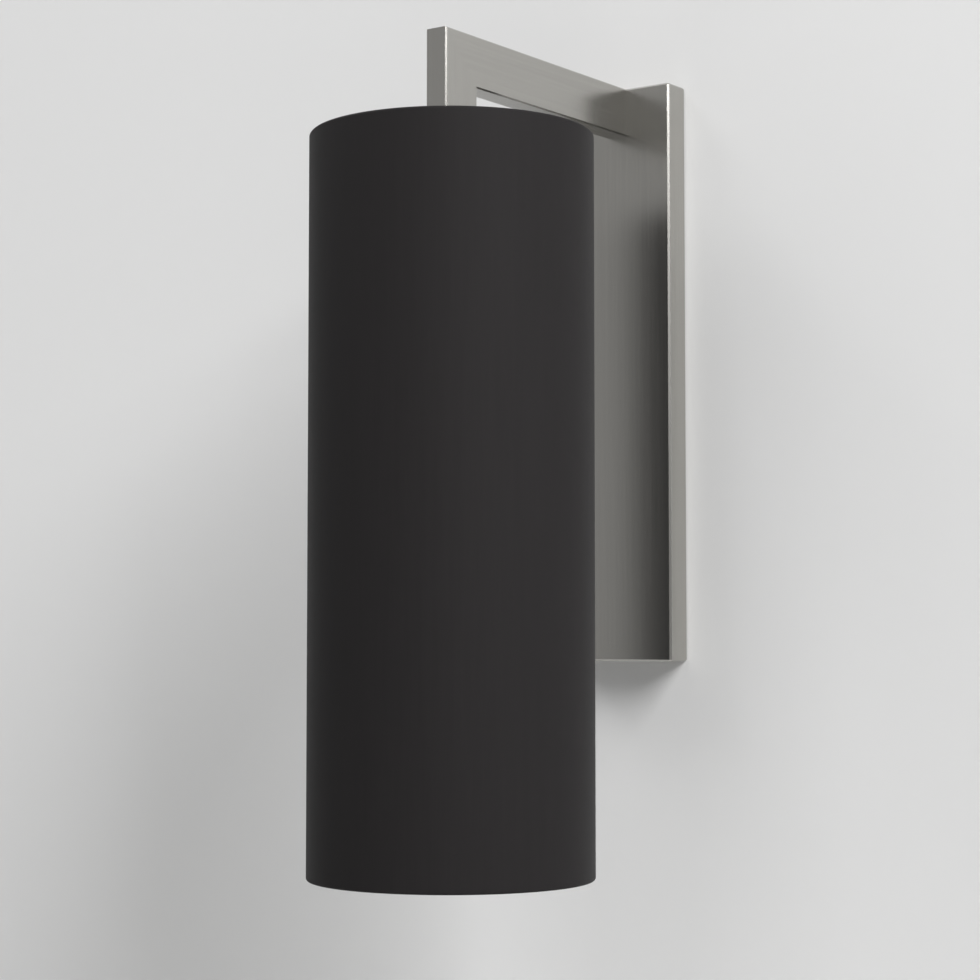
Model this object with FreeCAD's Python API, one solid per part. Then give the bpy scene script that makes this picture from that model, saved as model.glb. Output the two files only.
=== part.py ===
"""A tube wall light: a slim wall plate, a right-angled flat arm and a tall cylindrical fabric shade.

Millimetres. +Z is up, the wall is the plane Y = 0 and the light stands out of it towards -Y.
The origin is the middle of the wall plate, on the wall.
"""

import FreeCAD
import Part

import math
import os

Vector = FreeCAD.Vector
OUT = "parts"

# ---- driving sizes -----------------------------------------------------------------------------

# Wall plate, a folded cover open at the back.
plate_width = 64.0
plate_height = 300.0
plate_depth = 15.5
plate_wall = 1.5
plate_chamfer = 0.9

# Arm, a flat rectangular tube: a level bar with a leg that turns down into the shade.
arm_width = 12.0
arm_height = 25.0
arm_wall = 1.5
arm_chamfer = 0.7
arm_reach = 173.5  # wall to the front of the leg
leg_below_bar = 53.0  # bar's underside to the leg's foot

# Shade.
shade_diameter = 135.0
shade_length = 350.0
shade_gap = 25.0  # bar's underside to the shade's top rim
fabric_thickness = 0.4
liner_thickness = 0.8
hoop_wire = 2.8
spoke_wire = 2.6
wire_sides = 6  # flats of a drawn wire
spoke_count = 3
spoke_bend = 8.0
spoke_level_length = 7.0
rim_bevel = 0.6
hem = 7.0  # height of the cloth turned in over a hoop
seam_width = 11.0

# Nipple and the leg's foot.
nipple_diameter = 8.0
nipple_bore = 5.6
nipple_grip = 9.0
foot_block_height = 8.0
foot_spigot_height = 4.0
locknut_flats = 13.0
locknut_height = 5.0

# Lampholder for an E27 screw cap.
holder_cap_height = 30.0
holder_cap_diameter = 44.0
holder_neck_diameter = 17.0
holder_neck_height = 8.0
holder_wall = 2.0
holder_flange_border = 5.25  # width of the flange round the barrel
holder_flange_thickness = 3.0
holder_barrel_diameter = 39.5
holder_barrel_length = 18.0
holder_skirt_diameter = 36.0
holder_skirt_length = 17.0
insulator_thickness = 6.0
insulator_ledge = 3.0
terminal_spread = 7.0
terminal_width = 5.0
terminal_depth = 7.0
terminal_height = 7.0
contact_thickness = 0.5
contact_width = 4.0
contact_length = 10.0

# Threaded ring that clamps the shade under the lampholder's flange.
ring_wall = 3.45
ring_border = 4.5  # width of the notched rim round the collar
ring_height = 10.0
ring_flange_thickness = 2.0
ring_notches = 12
ring_notch_width = 5.0
ring_notch_depth = 1.2

# Shade carrier, the flat washer at the middle of the spokes.
carrier_border = 9.0  # width of the washer round its hole
carrier_thickness = 2.0

# Tubular bulb with an E27 cap.
bulb_cap_diameter = 26.2
bulb_cap_length = 22.0
bulb_cap_wall = 0.5
bulb_spigot_length = 9.0
bulb_insulator_height = 3.5
bulb_contact_diameter = 9.5
bulb_contact_height = 1.0
bulb_contact_gap = 3.5  # from the holder's insulator to the bulb's contact, for the sprung tongue
bulb_neck_diameter = 27.0
bulb_neck_length = 4.0
bulb_diameter = 37.0
bulb_housing_length = 22.0
bulb_globe_length = 62.0
bulb_end_bevel = 2.5

# Wall bracket, folded from sheet.
bracket_sheet = 1.5
bracket_width = 56.0
bracket_end_gap = 2.0  # inside of the cover's end to the bracket's tabs
bracket_corner = 2.0
tab_width = 16.0
tab_depth = 6.0
tab_relief_width = 3.0
tab_relief_depth = 3.0
fixing_spacing = 200.0
fixing_slot_width = 5.0
fixing_slot_length = 12.0
cable_hole_diameter = 20.0
grommet_bore = 9.0
grommet_lip = 2.0
grommet_lip_thickness = 1.5

# Fasteners.
screw_diameter = 4.0
screw_head_diameter = 7.0
screw_head_height = 3.0
countersunk_head_diameter = 8.0
arm_screw_spacing = 13.0
arm_screw_length = 13.0
arm_block_length = 14.0
grub_length = 8.0
grub_recess = 0.4

# Plate that stiffens the cover behind the arm.
backing_thickness = 3.0
backing_width = 44.0
backing_height = 31.0
backing_corner = 3.0

# Terminal block, with its poles side by side.
pole_count = 3
pole_pitch = 9.0
block_length = 20.0
block_base_height = 4.0
block_headroom = 2.0  # front of the block to the inside of the cover
block_tower_width = 7.4
block_centre_z = 52.0
block_peg = 5.0
clamp_size = 4.2
clamp_wall = 0.7
clamp_length = 16.0
clamp_screw_diameter = 2.6
clamp_screw_offset = 4.5  # from the block's middle, towards the mains side

# Wiring.
wire_diameter = 2.2
wire_core_diameter = 1.2
wire_pair_spread = 2.5
wire_level = 4.0  # bracket's front to the middle of a clamp
wire_detour = 7.0  # sideways, past the head of the upper fixing screw
wire_detour_spread = 3.0
tag_thickness = 0.8
tag_diameter = 8.0
tag_barrel_size = 3.4
tag_barrel_length = 9.0
earth_offset_x = 15.0
earth_below_bar = 3.5

# Clearances.
slip = 0.05  # pieces that seat in each other
glue = 0.15  # cloth, liner and hoops of the shade
carrier_play = 1.25  # carrier's hole round the lampholder
thread_play = 0.3  # shade ring on the lampholder
bulb_play = 1.0  # bulb cap inside the lampholder
screw_play = 0.25  # screw through a plain hole
wire_play = 0.3

# ---- places worked out from the sizes ----------------------------------------------------------

plate_front = -plate_depth
plate_top = plate_height / 2
bar_top = plate_top
bar_bottom = bar_top - arm_height
bar_middle = bar_top - arm_height / 2
leg_front = -arm_reach
leg_back = leg_front + arm_height
lamp_y = (leg_front + leg_back) / 2
foot = bar_bottom - leg_below_bar
spigot_top = foot + foot_block_height + foot_spigot_height

shade_top = bar_bottom - shade_gap
shade_bottom = shade_top - shade_length
shade_radius = shade_diameter / 2
liner_outer = shade_radius - fabric_thickness - glue
liner_inner = liner_outer - liner_thickness
hoop_radius = liner_inner - glue - hoop_wire / 2
hoop_inset = fabric_thickness + glue + hoop_wire / 2

cap_top = foot - locknut_height
nipple_bottom = cap_top - holder_neck_height + 1.0
flange_top = cap_top - holder_cap_height
flange_bottom = flange_top - holder_flange_thickness
barrel_bottom = flange_bottom - holder_barrel_length
holder_bottom = barrel_bottom - holder_skirt_length
insulator_bottom = flange_top - insulator_thickness
holder_bore = bulb_cap_diameter / 2 + bulb_play
pocket_radius = holder_bore + insulator_ledge
terminal_top = flange_top + terminal_height
strip_top = insulator_bottom - 1.0

bulb_top = insulator_bottom - bulb_contact_gap
bulb_cap_top = bulb_top - bulb_contact_height - bulb_insulator_height
bulb_cap_bottom = bulb_cap_top - bulb_cap_length
bulb_joint = bulb_cap_bottom - bulb_housing_length
bulb_bottom = bulb_joint - bulb_globe_length

carrier_top = flange_bottom
flange_radius = holder_barrel_diameter / 2 + holder_flange_border
carrier_hole = holder_barrel_diameter / 2 + carrier_play
carrier_radius = carrier_hole + carrier_border
ring_top = carrier_top - carrier_thickness
ring_bore = holder_barrel_diameter / 2 + thread_play
ring_collar = ring_bore + ring_wall
ring_radius = ring_collar + ring_border

backing_back = plate_front + plate_wall + backing_thickness
backing_top = plate_top - plate_wall - bracket_end_gap / 2
earth_z = bar_bottom - earth_below_bar
tag_barrel_top = earth_z - tag_diameter / 2 - 1.0
tag_barrel_bottom = tag_barrel_top - tag_barrel_length
tag_barrel_y = backing_back + tag_barrel_size / 2

strap_end = plate_top - plate_wall - bracket_end_gap
tab_middle_y = -bracket_sheet - tab_depth / 2
block_front = plate_front + plate_wall + block_headroom
block_tower_height = -bracket_sheet - block_front
clamp_y = -bracket_sheet - wire_level
clamp_top = block_centre_z + clamp_length / 2
clamp_screw_z = block_centre_z - clamp_screw_offset
pair_y = -bracket_sheet - wire_play - wire_diameter / 2
wire_hole = wire_pair_spread + wire_diameter + 3 * wire_play


# ---- building blocks ---------------------------------------------------------------------------


def near(a, b):
    """Whether two lengths are the same."""
    return abs(a - b) < 1e-4


def block(x, y, z):
    """A box from three pairs of limits."""
    low, high = (Vector(*(pick(limits) for limits in (x, y, z))) for pick in (min, max))
    size = high - low
    return Part.makeBox(size.x, size.y, size.z, low)


def centred_block(width, depth, height, middle):
    """A box from its sizes and its middle."""
    return Part.makeBox(width, depth, height, Vector(middle) - Vector(width, depth, height) / 2)


def rod(diameter, start, end):
    """A round bar between two points."""
    start, end = Vector(start), Vector(end)
    return Part.makeCylinder(diameter / 2, (end - start).Length, start, end - start)


def rod_along_y(diameter, x, z, start, end):
    """A round bar that runs straight in from the wall."""
    return rod(diameter, (x, start, z), (x, end, z))


def rod_along_z(diameter, y, start, end):
    """An upright round bar in the plane X = 0."""
    return rod(diameter, (0, y, start), (0, y, end))


def hexagon(flats, start, end):
    """A hexagonal bar between two points."""
    start, end = Vector(start), Vector(end)
    along = end - start
    corner = Vector(flats / math.sqrt(3), 0, 0)
    corners = [start + FreeCAD.Rotation(along, 60.0 * i).multVec(corner) for i in range(7)]
    return Part.Face(Part.makePolygon(corners)).extrude(along)


def in_section(a, b):
    """Puts a flat pair into the upright plane X = 0."""
    return Vector(0, a, b)


def outline(*steps, place=in_section):
    """A flat face from pairs. A step of two pairs is an arc: through the first, to the second."""
    here = first = place(*steps[0])
    edges = []
    for step in steps[1:]:
        if isinstance(step[0], tuple):
            through, there = place(*step[0]), place(*step[1])
            edges.append(Part.Arc(here, through, there).toShape())
        else:
            there = place(*step)
            edges.append(Part.makeLine(here, there))
        here = there
    if (here - first).Length > 1e-6:
        edges.append(Part.makeLine(here, first))
    return Part.Face(Part.Wire(edges))


def turned(*steps, start_angle=0.0, angle=360.0):
    """A body turned about the lamp's upright axis from (radius, z) steps."""
    face = outline(*steps)
    face.translate(Vector(0, lamp_y, 0))
    if start_angle:
        face.rotate(Vector(0, lamp_y, 0), Vector(0, 0, 1), start_angle)
    return face.revolve(Vector(0, lamp_y, 0), Vector(0, 0, 1), angle)


def lamp_tube(inner, outer, low, high):
    """A plain tube about the lamp's axis, from its radii."""
    return turned((inner, low), (outer, low), (outer, high), (inner, high))


def around_lamp(shape, count, first_angle=0.0):
    """Copies of a shape spaced evenly round the lamp's axis."""
    copies = []
    for i in range(count):
        one = shape.copy()
        one.rotate(Vector(0, lamp_y, 0), Vector(0, 0, 1), first_angle + 360.0 * i / count)
        copies.append(one)
    return copies


def joined(*shapes):
    """One solid from shapes that touch or overlap."""
    whole = shapes[0].fuse(list(shapes[1:])).removeSplitter()
    return whole.Solids[0] if len(whole.Solids) == 1 else whole


def edges_where(shape, test):
    """The edges whose middle point passes a test."""
    chosen = []
    for edge in shape.Edges:
        low, high = edge.ParameterRange
        if test(edge.valueAt((low + high) / 2)):
            chosen.append(edge)
    return chosen


def bent_path(points, radii):
    """Straight runs joined by tangent arcs, with one radius for each inner point."""
    points = [Vector(p) for p in points]
    edges = []
    start = points[0]
    for before, corner, after, radius in zip(points, points[1:], points[2:], radii):
        back = (before - corner).normalize()
        ahead = (after - corner).normalize()
        half_angle = back.getAngle(ahead) / 2
        inward = (back + ahead).normalize()
        arc_start = corner + back * (radius / math.tan(half_angle))
        arc_end = corner + ahead * (radius / math.tan(half_angle))
        arc_middle = corner + inward * (radius / math.sin(half_angle) - radius)
        edges.append(Part.makeLine(start, arc_start))
        edges.append(Part.Arc(arc_start, arc_middle, arc_end).toShape())
        start = arc_end
    edges.append(Part.makeLine(start, points[-1]))
    return Part.Wire(edges)


def bent_wire(diameter, points, radii):
    """A drawn wire along a bent path, with small flats all round."""
    path = bent_path(points, radii)
    start = Vector(points[0])
    along = Vector(points[1]) - start
    side = along.cross(Vector(1, 0, 0))
    side.normalize()
    turns = [FreeCAD.Rotation(along, 360.0 * i / wire_sides) for i in range(wire_sides + 1)]
    section = Part.makePolygon([start + turn.multVec(side * diameter / 2) for turn in turns])
    return path.makePipeShell([section], True, False)


# ---- wall side ---------------------------------------------------------------------------------


def wall_bracket():
    """A strap for the wall, with a folded tab at each end that takes the cover's screw."""
    half = bracket_width / 2
    strap = block((-half, half), (-bracket_sheet, 0), (-strap_end, strap_end))
    corners = edges_where(strap, lambda p: near(abs(p.x), half) and near(abs(p.z), strap_end))
    body = strap.makeChamfer(bracket_corner, corners)
    cuts = []
    across = (-tab_width / 2, tab_width / 2)
    tab_front = -bracket_sheet - tab_depth
    for end in (-1, 1):
        tab = block(across, (tab_front, 0), (end * strap_end, end * (strap_end - bracket_sheet)))
        body = joined(body, tab)
        relief_x = (tab_width + tab_relief_width) / 2
        relief_size = (tab_relief_width, 6, 2 * tab_relief_depth)
        cuts += [centred_block(*relief_size, (x, 0, end * strap_end)) for x in (-relief_x, relief_x)]
        thread = screw_diameter + 2 * slip
        cuts.append(rod_along_z(thread, tab_middle_y, end * plate_top, end * fixing_spacing / 2))
        slot_half = (fixing_slot_length - fixing_slot_width) / 2
        middle = end * fixing_spacing / 2
        slot_ends = [rod_along_y(fixing_slot_width, 0, middle + s * slot_half, -3, 3) for s in (-1, 1)]
        cuts.append(joined(centred_block(fixing_slot_width, 6, 2 * slot_half, (0, 0, middle)), *slot_ends))
    cuts.append(rod_along_y(cable_hole_diameter, 0, 0, -3, 3))
    peg = block_peg + 2 * slip
    cuts.append(centred_block(peg, 6, peg, (0, 0, block_centre_z)))
    return body.cut(cuts)


def cover_screws():
    """A socket screw through each end of the cover into the bracket's tab."""
    top = plate_top - grub_recess
    low = top - grub_length
    return [rod_along_z(screw_diameter, tab_middle_y, end * top, end * low) for end in (1, -1)]


def cable_grommet():
    """Rubber bush in the bracket's cable hole, with a lip in front of the sheet."""
    neck = cable_hole_diameter / 2 - slip
    lip = neck + grommet_lip
    bore = grommet_bore / 2
    behind = -0.2
    front = -bracket_sheet - slip
    lip_front = front - grommet_lip_thickness
    face = outline(
        (bore, behind),
        (neck, behind),
        (neck, front),
        (lip, front),
        (lip, lip_front),
        (bore, lip_front),
        place=lambda radius, y: Vector(radius, y, 0),
    )
    return face.revolve(Vector(0, 0, 0), Vector(0, 1, 0), 360)


def pole_places():
    """The X of each pole of the terminal block."""
    return [pole_pitch * (i - (pole_count - 1) / 2) for i in range(pole_count)]


def terminal_block():
    """Moulded strip with a hollow tower for each pole and a peg that snaps into the bracket."""
    back = -bracket_sheet
    half_width = pole_pitch * pole_count / 2
    ends = (block_centre_z - block_length / 2, block_centre_z + block_length / 2)
    body = block((-half_width, half_width), (back - block_base_height, back), ends)
    cuts = []
    well = clamp_screw_diameter + 2 * slip
    for x in pole_places():
        tower = block((x - block_tower_width / 2, x + block_tower_width / 2), (block_front, back), ends)
        front = edges_where(tower, lambda p: near(p.y, block_front) and near(p.z, block_centre_z))
        body = joined(body, tower.makeChamfer(1.2, front))
        size = clamp_size + 2 * slip
        cuts.append(centred_block(size, size, block_length + 2, (x, clamp_y, block_centre_z)))
        cuts.append(centred_block(well, 2 * block_tower_height, well, (x, clamp_y, clamp_screw_z)))
    peg = centred_block(block_peg, 2 * bracket_sheet, block_peg, (0, back, block_centre_z))
    return joined(body.cut(cuts), peg)


def terminal_clamps():
    """Brass cages inside the terminal block."""
    bore = clamp_size - 2 * clamp_wall
    hole = clamp_screw_diameter + 2 * slip
    clamps = []
    for x in pole_places():
        cage = centred_block(clamp_size, clamp_size, clamp_length, (x, clamp_y, block_centre_z))
        inside = centred_block(bore, bore, clamp_length + 2, (x, clamp_y, block_centre_z))
        screw_hole = centred_block(hole, clamp_size, hole, (x, clamp_y - clamp_size / 2, clamp_screw_z))
        clamps.append(cage.cut([inside, screw_hole]))
    return clamps


def terminal_screws():
    """A screw for each clamp, on the side of the cable from the wall."""
    ends = (block_front + 1.2, clamp_y - wire_core_diameter / 2)
    return [rod_along_y(clamp_screw_diameter, x, clamp_screw_z, *ends) for x in pole_places()]


def arm_screw_levels():
    """The Z of the two screws of the arm."""
    return [bar_middle + s * arm_screw_spacing / 2 for s in (-1, 1)]


def countersunk_head(seat, gap=0.0):
    """Cones of the arm's two screw heads, wider by a gap all round."""
    head = countersunk_head_diameter / 2
    narrow = screw_diameter / 2
    ends = (head + gap, narrow + gap, head - narrow)
    return [Part.makeCone(*ends, Vector(0, seat, z), Vector(0, -1, 0)) for z in arm_screw_levels()]


def arm_holes(diameter, start, end):
    """Cutters for the arm's screws and for its wires."""
    middle = (0, (start + end) / 2, bar_middle)
    wires = centred_block(wire_hole, abs(end - start), wire_hole, middle)
    return [*(rod_along_y(diameter, 0, z, start, end) for z in arm_screw_levels()), wires]


def wall_plate_cover():
    """Front cover, open at the back, with broken edges."""
    half_width, half_height = plate_width / 2, plate_height / 2
    outer = block((-half_width, half_width), (plate_front, 0), (-half_height, half_height))
    outer = outer.makeChamfer(plate_chamfer, edges_where(outer, lambda p: not near(p.y, 0)))
    hollow_width, hollow_height = half_width - plate_wall, half_height - plate_wall
    inside = plate_front + plate_wall
    hollow = block((-hollow_width, hollow_width), (inside, 1), (-hollow_height, hollow_height))
    cuts = [hollow, *arm_holes(screw_diameter + 2 * screw_play, plate_front - 1, backing_back)]
    screw_hole = screw_diameter + 2 * screw_play
    for end in (-1, 1):
        cuts.append(rod_along_z(screw_hole, tab_middle_y, end * (plate_top + 1), end * (hollow_height - 1)))
    return outer.cut(cuts)


def arm_backing_plate():
    """Thick plate behind the cover that spreads the arm's load and takes the earth screw."""
    front = plate_front + plate_wall
    half = backing_width / 2
    low = backing_top - backing_height
    plate = block((-half, half), (front, backing_back), (low, backing_top))
    middle_y = (front + backing_back) / 2
    plate = plate.makeChamfer(backing_corner, edges_where(plate, lambda p: near(p.y, middle_y)))
    cuts = arm_holes(screw_diameter + 2 * screw_play, front - 1, backing_back + 1)
    cuts.append(rod_along_y(screw_diameter + 2 * slip, earth_offset_x, earth_z, front - 1, backing_back + 1))
    return plate.cut(cuts + countersunk_head(backing_back, slip))


def arm_screws():
    """Two countersunk screws from behind the cover into the arm."""
    ends = (backing_back, backing_back - arm_screw_length)
    shanks = [rod_along_y(screw_diameter, 0, z, *ends) for z in arm_screw_levels()]
    return [joined(shank, head) for shank, head in zip(shanks, countersunk_head(backing_back))]


def earth_screw():
    """Short cap screw that holds the earth tag on the backing plate."""
    seat = backing_back + tag_thickness
    head = rod_along_y(screw_head_diameter, earth_offset_x, earth_z, seat, seat + screw_head_height)
    shank = rod_along_y(screw_diameter, earth_offset_x, earth_z, seat, backing_back - backing_thickness + 0.2)
    return joined(head, shank)


def earth_tag():
    """Ring tongue with a crimp barrel for the earth wire."""
    x, z = earth_offset_x, earth_z
    front = backing_back + tag_thickness
    ring = rod_along_y(tag_diameter, x, z, backing_back, front)
    size = tag_barrel_size
    neck = block((x - size / 2, x + size / 2), (backing_back, front), (tag_barrel_bottom, z))
    middle = (tag_barrel_bottom + tag_barrel_top) / 2
    barrel = centred_block(size, size, tag_barrel_length, (x, tag_barrel_y, middle))
    bore = wire_diameter + 2 * slip
    inside = centred_block(bore, bore, tag_barrel_length, (x, tag_barrel_y, middle - 2.5))
    hole = rod_along_y(screw_diameter + 2 * screw_play, x, z, backing_back - 1, front + 1)
    return joined(ring, neck, barrel).cut([inside, hole])


# ---- arm ---------------------------------------------------------------------------------------


def arm_section(inset, half_width, wall_end, leg_end):
    """A right-angled flat body that follows the arm's outline, set in by a distance."""
    top, low = bar_top - inset, bar_bottom + inset
    front, back = leg_front + inset, leg_back - inset
    corners = [(wall_end, top), (front, top), (front, leg_end), (back, leg_end), (back, low), (wall_end, low)]
    face = outline(*corners)
    face.translate(Vector(-half_width, 0, 0))
    return face.extrude(Vector(2 * half_width, 0, 0))


def arm():
    """Flat rectangular tube turned through a right angle, with broken edges along its sides."""
    half = arm_width / 2
    leg_end = foot + foot_block_height
    outer = arm_section(0, half, plate_front, leg_end)
    sides = edges_where(outer, lambda p: near(abs(p.x), half) and p.y < plate_front - 1 and p.z > leg_end + 1)
    outer = outer.makeChamfer(arm_chamfer, sides)
    return outer.cut(arm_section(arm_wall, half - arm_wall, plate_front + 1, leg_end - 1))


def arm_wall_block():
    """Tapped block inside the arm's wall end."""
    inset = arm_wall + slip
    end = plate_front - arm_block_length
    half = arm_width / 2 - inset
    body = block((-half, half), (end, plate_front), (bar_bottom + inset, bar_top - inset))
    return body.cut(arm_holes(screw_diameter + 2 * slip, end - 1, plate_front + 1))


def leg_foot_block():
    """Tapped block that closes the leg, with a spigot inside the tube."""
    half = arm_width / 2
    joint = foot + foot_block_height
    body = block((-half, half), (leg_front, leg_back), (foot, joint))
    sides = edges_where(body, lambda p: near(abs(p.x), half) and not near(p.z, joint))
    body = body.makeChamfer(arm_chamfer, sides)
    inset = arm_wall + slip
    spigot = block((inset - half, half - inset), (leg_front + inset, leg_back - inset), (joint, spigot_top))
    hole = rod(nipple_diameter + 2 * slip, (0, lamp_y, foot - 1), (0, lamp_y, spigot_top + 1))
    return joined(body, spigot).cut(hole)


def nipple():
    """Threaded tube that carries the lampholder and lets the wires through."""
    return lamp_tube(nipple_bore / 2, nipple_diameter / 2, nipple_bottom, foot + nipple_grip)


def locknut():
    """Thin nut that locks the nipple."""
    ends = (0, lamp_y, cap_top), (0, lamp_y, cap_top + locknut_height)
    return hexagon(locknut_flats, *ends).cut(rod(nipple_diameter + 2 * slip, *ends))


# ---- lampholder --------------------------------------------------------------------------------


def holder_cap():
    """Cap with a threaded neck and a flat shoulder, open underneath over the terminals."""
    rim = holder_cap_diameter / 2
    neck = holder_neck_diameter / 2
    hole = nipple_diameter / 2 + slip
    shoulder = cap_top - holder_neck_height
    wall = holder_wall
    return turned(
        (hole, cap_top),
        (neck, cap_top),
        (neck, shoulder),
        (rim, shoulder),
        (rim, flange_top),
        (rim - wall, flange_top),
        (rim - wall, shoulder - wall),
        (hole, shoulder - wall),
    )


def holder_body():
    """Flange that stops the shade, threaded barrel and plain skirt round the bulb's cap."""
    barrel = holder_barrel_diameter / 2
    skirt = holder_skirt_diameter / 2
    return turned(
        (pocket_radius, flange_top),
        (flange_radius, flange_top),
        (flange_radius, flange_bottom),
        (barrel, flange_bottom),
        (barrel, barrel_bottom),
        (skirt, barrel_bottom),
        (skirt, holder_bottom),
        (holder_bore, holder_bottom),
        (holder_bore, insulator_bottom),
        (pocket_radius, insulator_bottom),
    )


def holder_insulator():
    """Disc in the top of the body that carries the contacts."""
    radius = pocket_radius - slip
    disc = rod(2 * radius, (0, lamp_y, insulator_bottom), (0, lamp_y, flange_top))
    width, depth = contact_thickness + 2 * slip, contact_width + 2 * slip
    slots = [centred_block(width, depth, 20, (s * terminal_spread, lamp_y, flange_top)) for s in (-1, 1)]
    return disc.cut(slots)


def holder_terminals():
    """Two brass push-in terminals on the insulator."""
    terminals = []
    bore = wire_core_diameter + 2 * slip
    for s in (-1, 1):
        x = s * terminal_spread
        body = centred_block(
            terminal_width, terminal_depth, terminal_height, (x, lamp_y, flange_top + terminal_height / 2)
        )
        edges = edges_where(body, lambda p: near(p.z, terminal_top))
        inside = centred_block(bore, bore, 10.0, (x, lamp_y, terminal_top))
        terminals.append(body.makeChamfer(0.8, edges).cut(inside))
    return terminals


def strip(*points):
    """A flat contact of the standard width from (x, z) corners."""
    return outline(*points, place=lambda x, z: Vector(x, lamp_y - contact_width / 2, z)).extrude(
        Vector(0, contact_width, 0)
    )


def contact_leg(x):
    """The part of a contact that comes down through the insulator."""
    middle = (x, lamp_y, (strip_top + flange_top) / 2)
    return centred_block(contact_thickness, contact_width, flange_top - strip_top, middle)


def centre_contact():
    """Sprung tongue from its terminal to the middle of the bulb's tip."""
    x, t = -terminal_spread, contact_thickness
    tongue = strip(
        (x - t / 2, strip_top),
        (x - t / 2, strip_top - t),
        (x + 2.0, strip_top - t),
        (-2.0, bulb_top),
        (2.5, bulb_top),
        (3.5, bulb_top + 1.0),
        (3.1, bulb_top + 1.4),
        (2.3, bulb_top + t),
        (-1.8, bulb_top + t),
        (x + 2.1, strip_top),
    )
    return joined(contact_leg(x), tongue)


def side_contact():
    """Tongue that lies along the bore beside the bulb's cap."""
    x, t = terminal_spread, contact_thickness
    wall = math.sqrt((holder_bore - slip) ** 2 - (contact_width / 2) ** 2)
    low = strip_top - contact_length
    tongue = strip(
        (x - t / 2, strip_top),
        (x - t / 2, strip_top - t),
        (wall - t, strip_top - t),
        (wall - t, low),
        (wall, low),
        (wall, strip_top),
    )
    return joined(contact_leg(x), tongue)


# ---- shade -------------------------------------------------------------------------------------


def turned_in_rim(level, into):
    """Section of the cloth at one rim, turned in over its hoop. `into` is the way into the shade."""
    cloth = fabric_thickness
    hem_outer = hoop_radius - hoop_wire / 2 - glue
    hem_inner = hem_outer - cloth
    return [
        (shade_radius, level + into * rim_bevel),
        (shade_radius - rim_bevel, level),
        (hem_inner, level),
        (hem_inner, level + into * hem),
        (hem_outer, level + into * hem),
        (hem_outer, level + into * cloth),
        (shade_radius - cloth, level + into * cloth),
    ]


def spoke_points():
    """A spoke's bends: level on the carrier, then up to the hoop."""
    level = carrier_top + spoke_wire / 2 - 0.4
    start = flange_radius + 1.5
    bends = [(start, level), (start + spoke_level_length, level), (hoop_radius, shade_top - hoop_inset)]
    return [(0, lamp_y + radius, z) for radius, z in bends]


def first_spoke_turn():
    """Turns the spokes so that one of them points straight to the front."""
    return 180.0


def shade_fabric():
    """Cloth tube turned in over both hoops, lapped at the back and snipped round the spokes."""
    top = turned_in_rim(shade_top, -1)
    low = turned_in_rim(shade_bottom, 1)
    cloth = turned(*top, *reversed(low))
    half_turn = math.degrees(seam_width / shade_diameter)
    lap = fabric_thickness
    inner = shade_radius - 0.2
    ends = (shade_bottom + rim_bevel, shade_top - rim_bevel)
    seam = turned(
        (inner, ends[0]),
        (shade_radius, ends[0]),
        (shade_radius + lap, ends[0] + lap),
        (shade_radius + lap, ends[1] - lap),
        (shade_radius, ends[1]),
        (inner, ends[1]),
        start_angle=-half_turn,
        angle=2 * half_turn,
    )
    tip = Vector(*spoke_points()[-1])
    slope = (tip - Vector(*spoke_points()[-2])).normalize()
    width = spoke_wire + 0.8
    snip = centred_block(width, 2 * hoop_wire, 3 * hem, Vector(0, 0, 0))
    snip.rotate(Vector(0, 0, 0), Vector(1, 0, 0), -math.degrees(math.atan2(slope.y, slope.z)))
    snip.translate(tip - slope * hem)
    keep_out = lamp_tube(shade_radius - 2.0, shade_radius + 9.0, shade_bottom, shade_top)
    return joined(cloth, seam).cut(around_lamp(snip.cut(keep_out), spoke_count, first_spoke_turn()))


def shade_liner():
    """Stiff translucent tube that the cloth is bonded to."""
    inset = fabric_thickness + glue
    return lamp_tube(liner_inner, liner_outer, shade_bottom + inset, shade_top - inset)


def hoop(level):
    """Square wire hoop inside a rim."""
    half = hoop_wire / 2
    return lamp_tube(hoop_radius - half, hoop_radius + half, level - half, level + half)


def shade_top_frame():
    """Welded wire frame: a hoop, spokes that drop to the middle, and the flat carrier."""
    carrier = lamp_tube(carrier_hole, carrier_radius, ring_top, carrier_top)
    spoke = bent_wire(spoke_wire, spoke_points(), [spoke_bend])
    spokes = around_lamp(spoke, spoke_count, first_spoke_turn())
    return joined(carrier, hoop(shade_top - hoop_inset), *spokes)


def shade_bottom_hoop():
    """Wire hoop inside the lower rim."""
    return hoop(shade_bottom + hoop_inset)


def shade_ring():
    """Threaded ring with a notched rim for fingers."""
    low, step = ring_top - ring_height, ring_top - ring_flange_thickness
    body = turned(
        (ring_bore, ring_top),
        (ring_radius, ring_top),
        (ring_radius, step),
        (ring_collar, step),
        (ring_collar, low),
        (ring_bore, low),
    )
    notch_size = (ring_notch_width, 2 * ring_notch_depth, 4 * ring_flange_thickness)
    notch = centred_block(*notch_size, (0, lamp_y + ring_radius, ring_top))
    return body.cut(around_lamp(notch, ring_notches))


# ---- bulb --------------------------------------------------------------------------------------


def bulb_screw_cap():
    """Thin metal cup with a closed top."""
    radius = bulb_cap_diameter / 2
    wall = bulb_cap_wall
    return turned(
        (0, bulb_cap_top),
        (radius, bulb_cap_top),
        (radius, bulb_cap_bottom),
        (radius - wall, bulb_cap_bottom),
        (radius - wall, bulb_cap_top - wall),
        (0, bulb_cap_top - wall),
    )


def bulb_tip_insulator():
    """Dark disc between the cap and its tip contact."""
    top = bulb_cap_top + bulb_insulator_height
    return rod(bulb_contact_diameter + 4.0, (0, lamp_y, bulb_cap_top), (0, lamp_y, top))


def bulb_tip_contact():
    """Round contact at the tip."""
    return rod(bulb_contact_diameter, (0, lamp_y, bulb_top - bulb_contact_height), (0, lamp_y, bulb_top))


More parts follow.
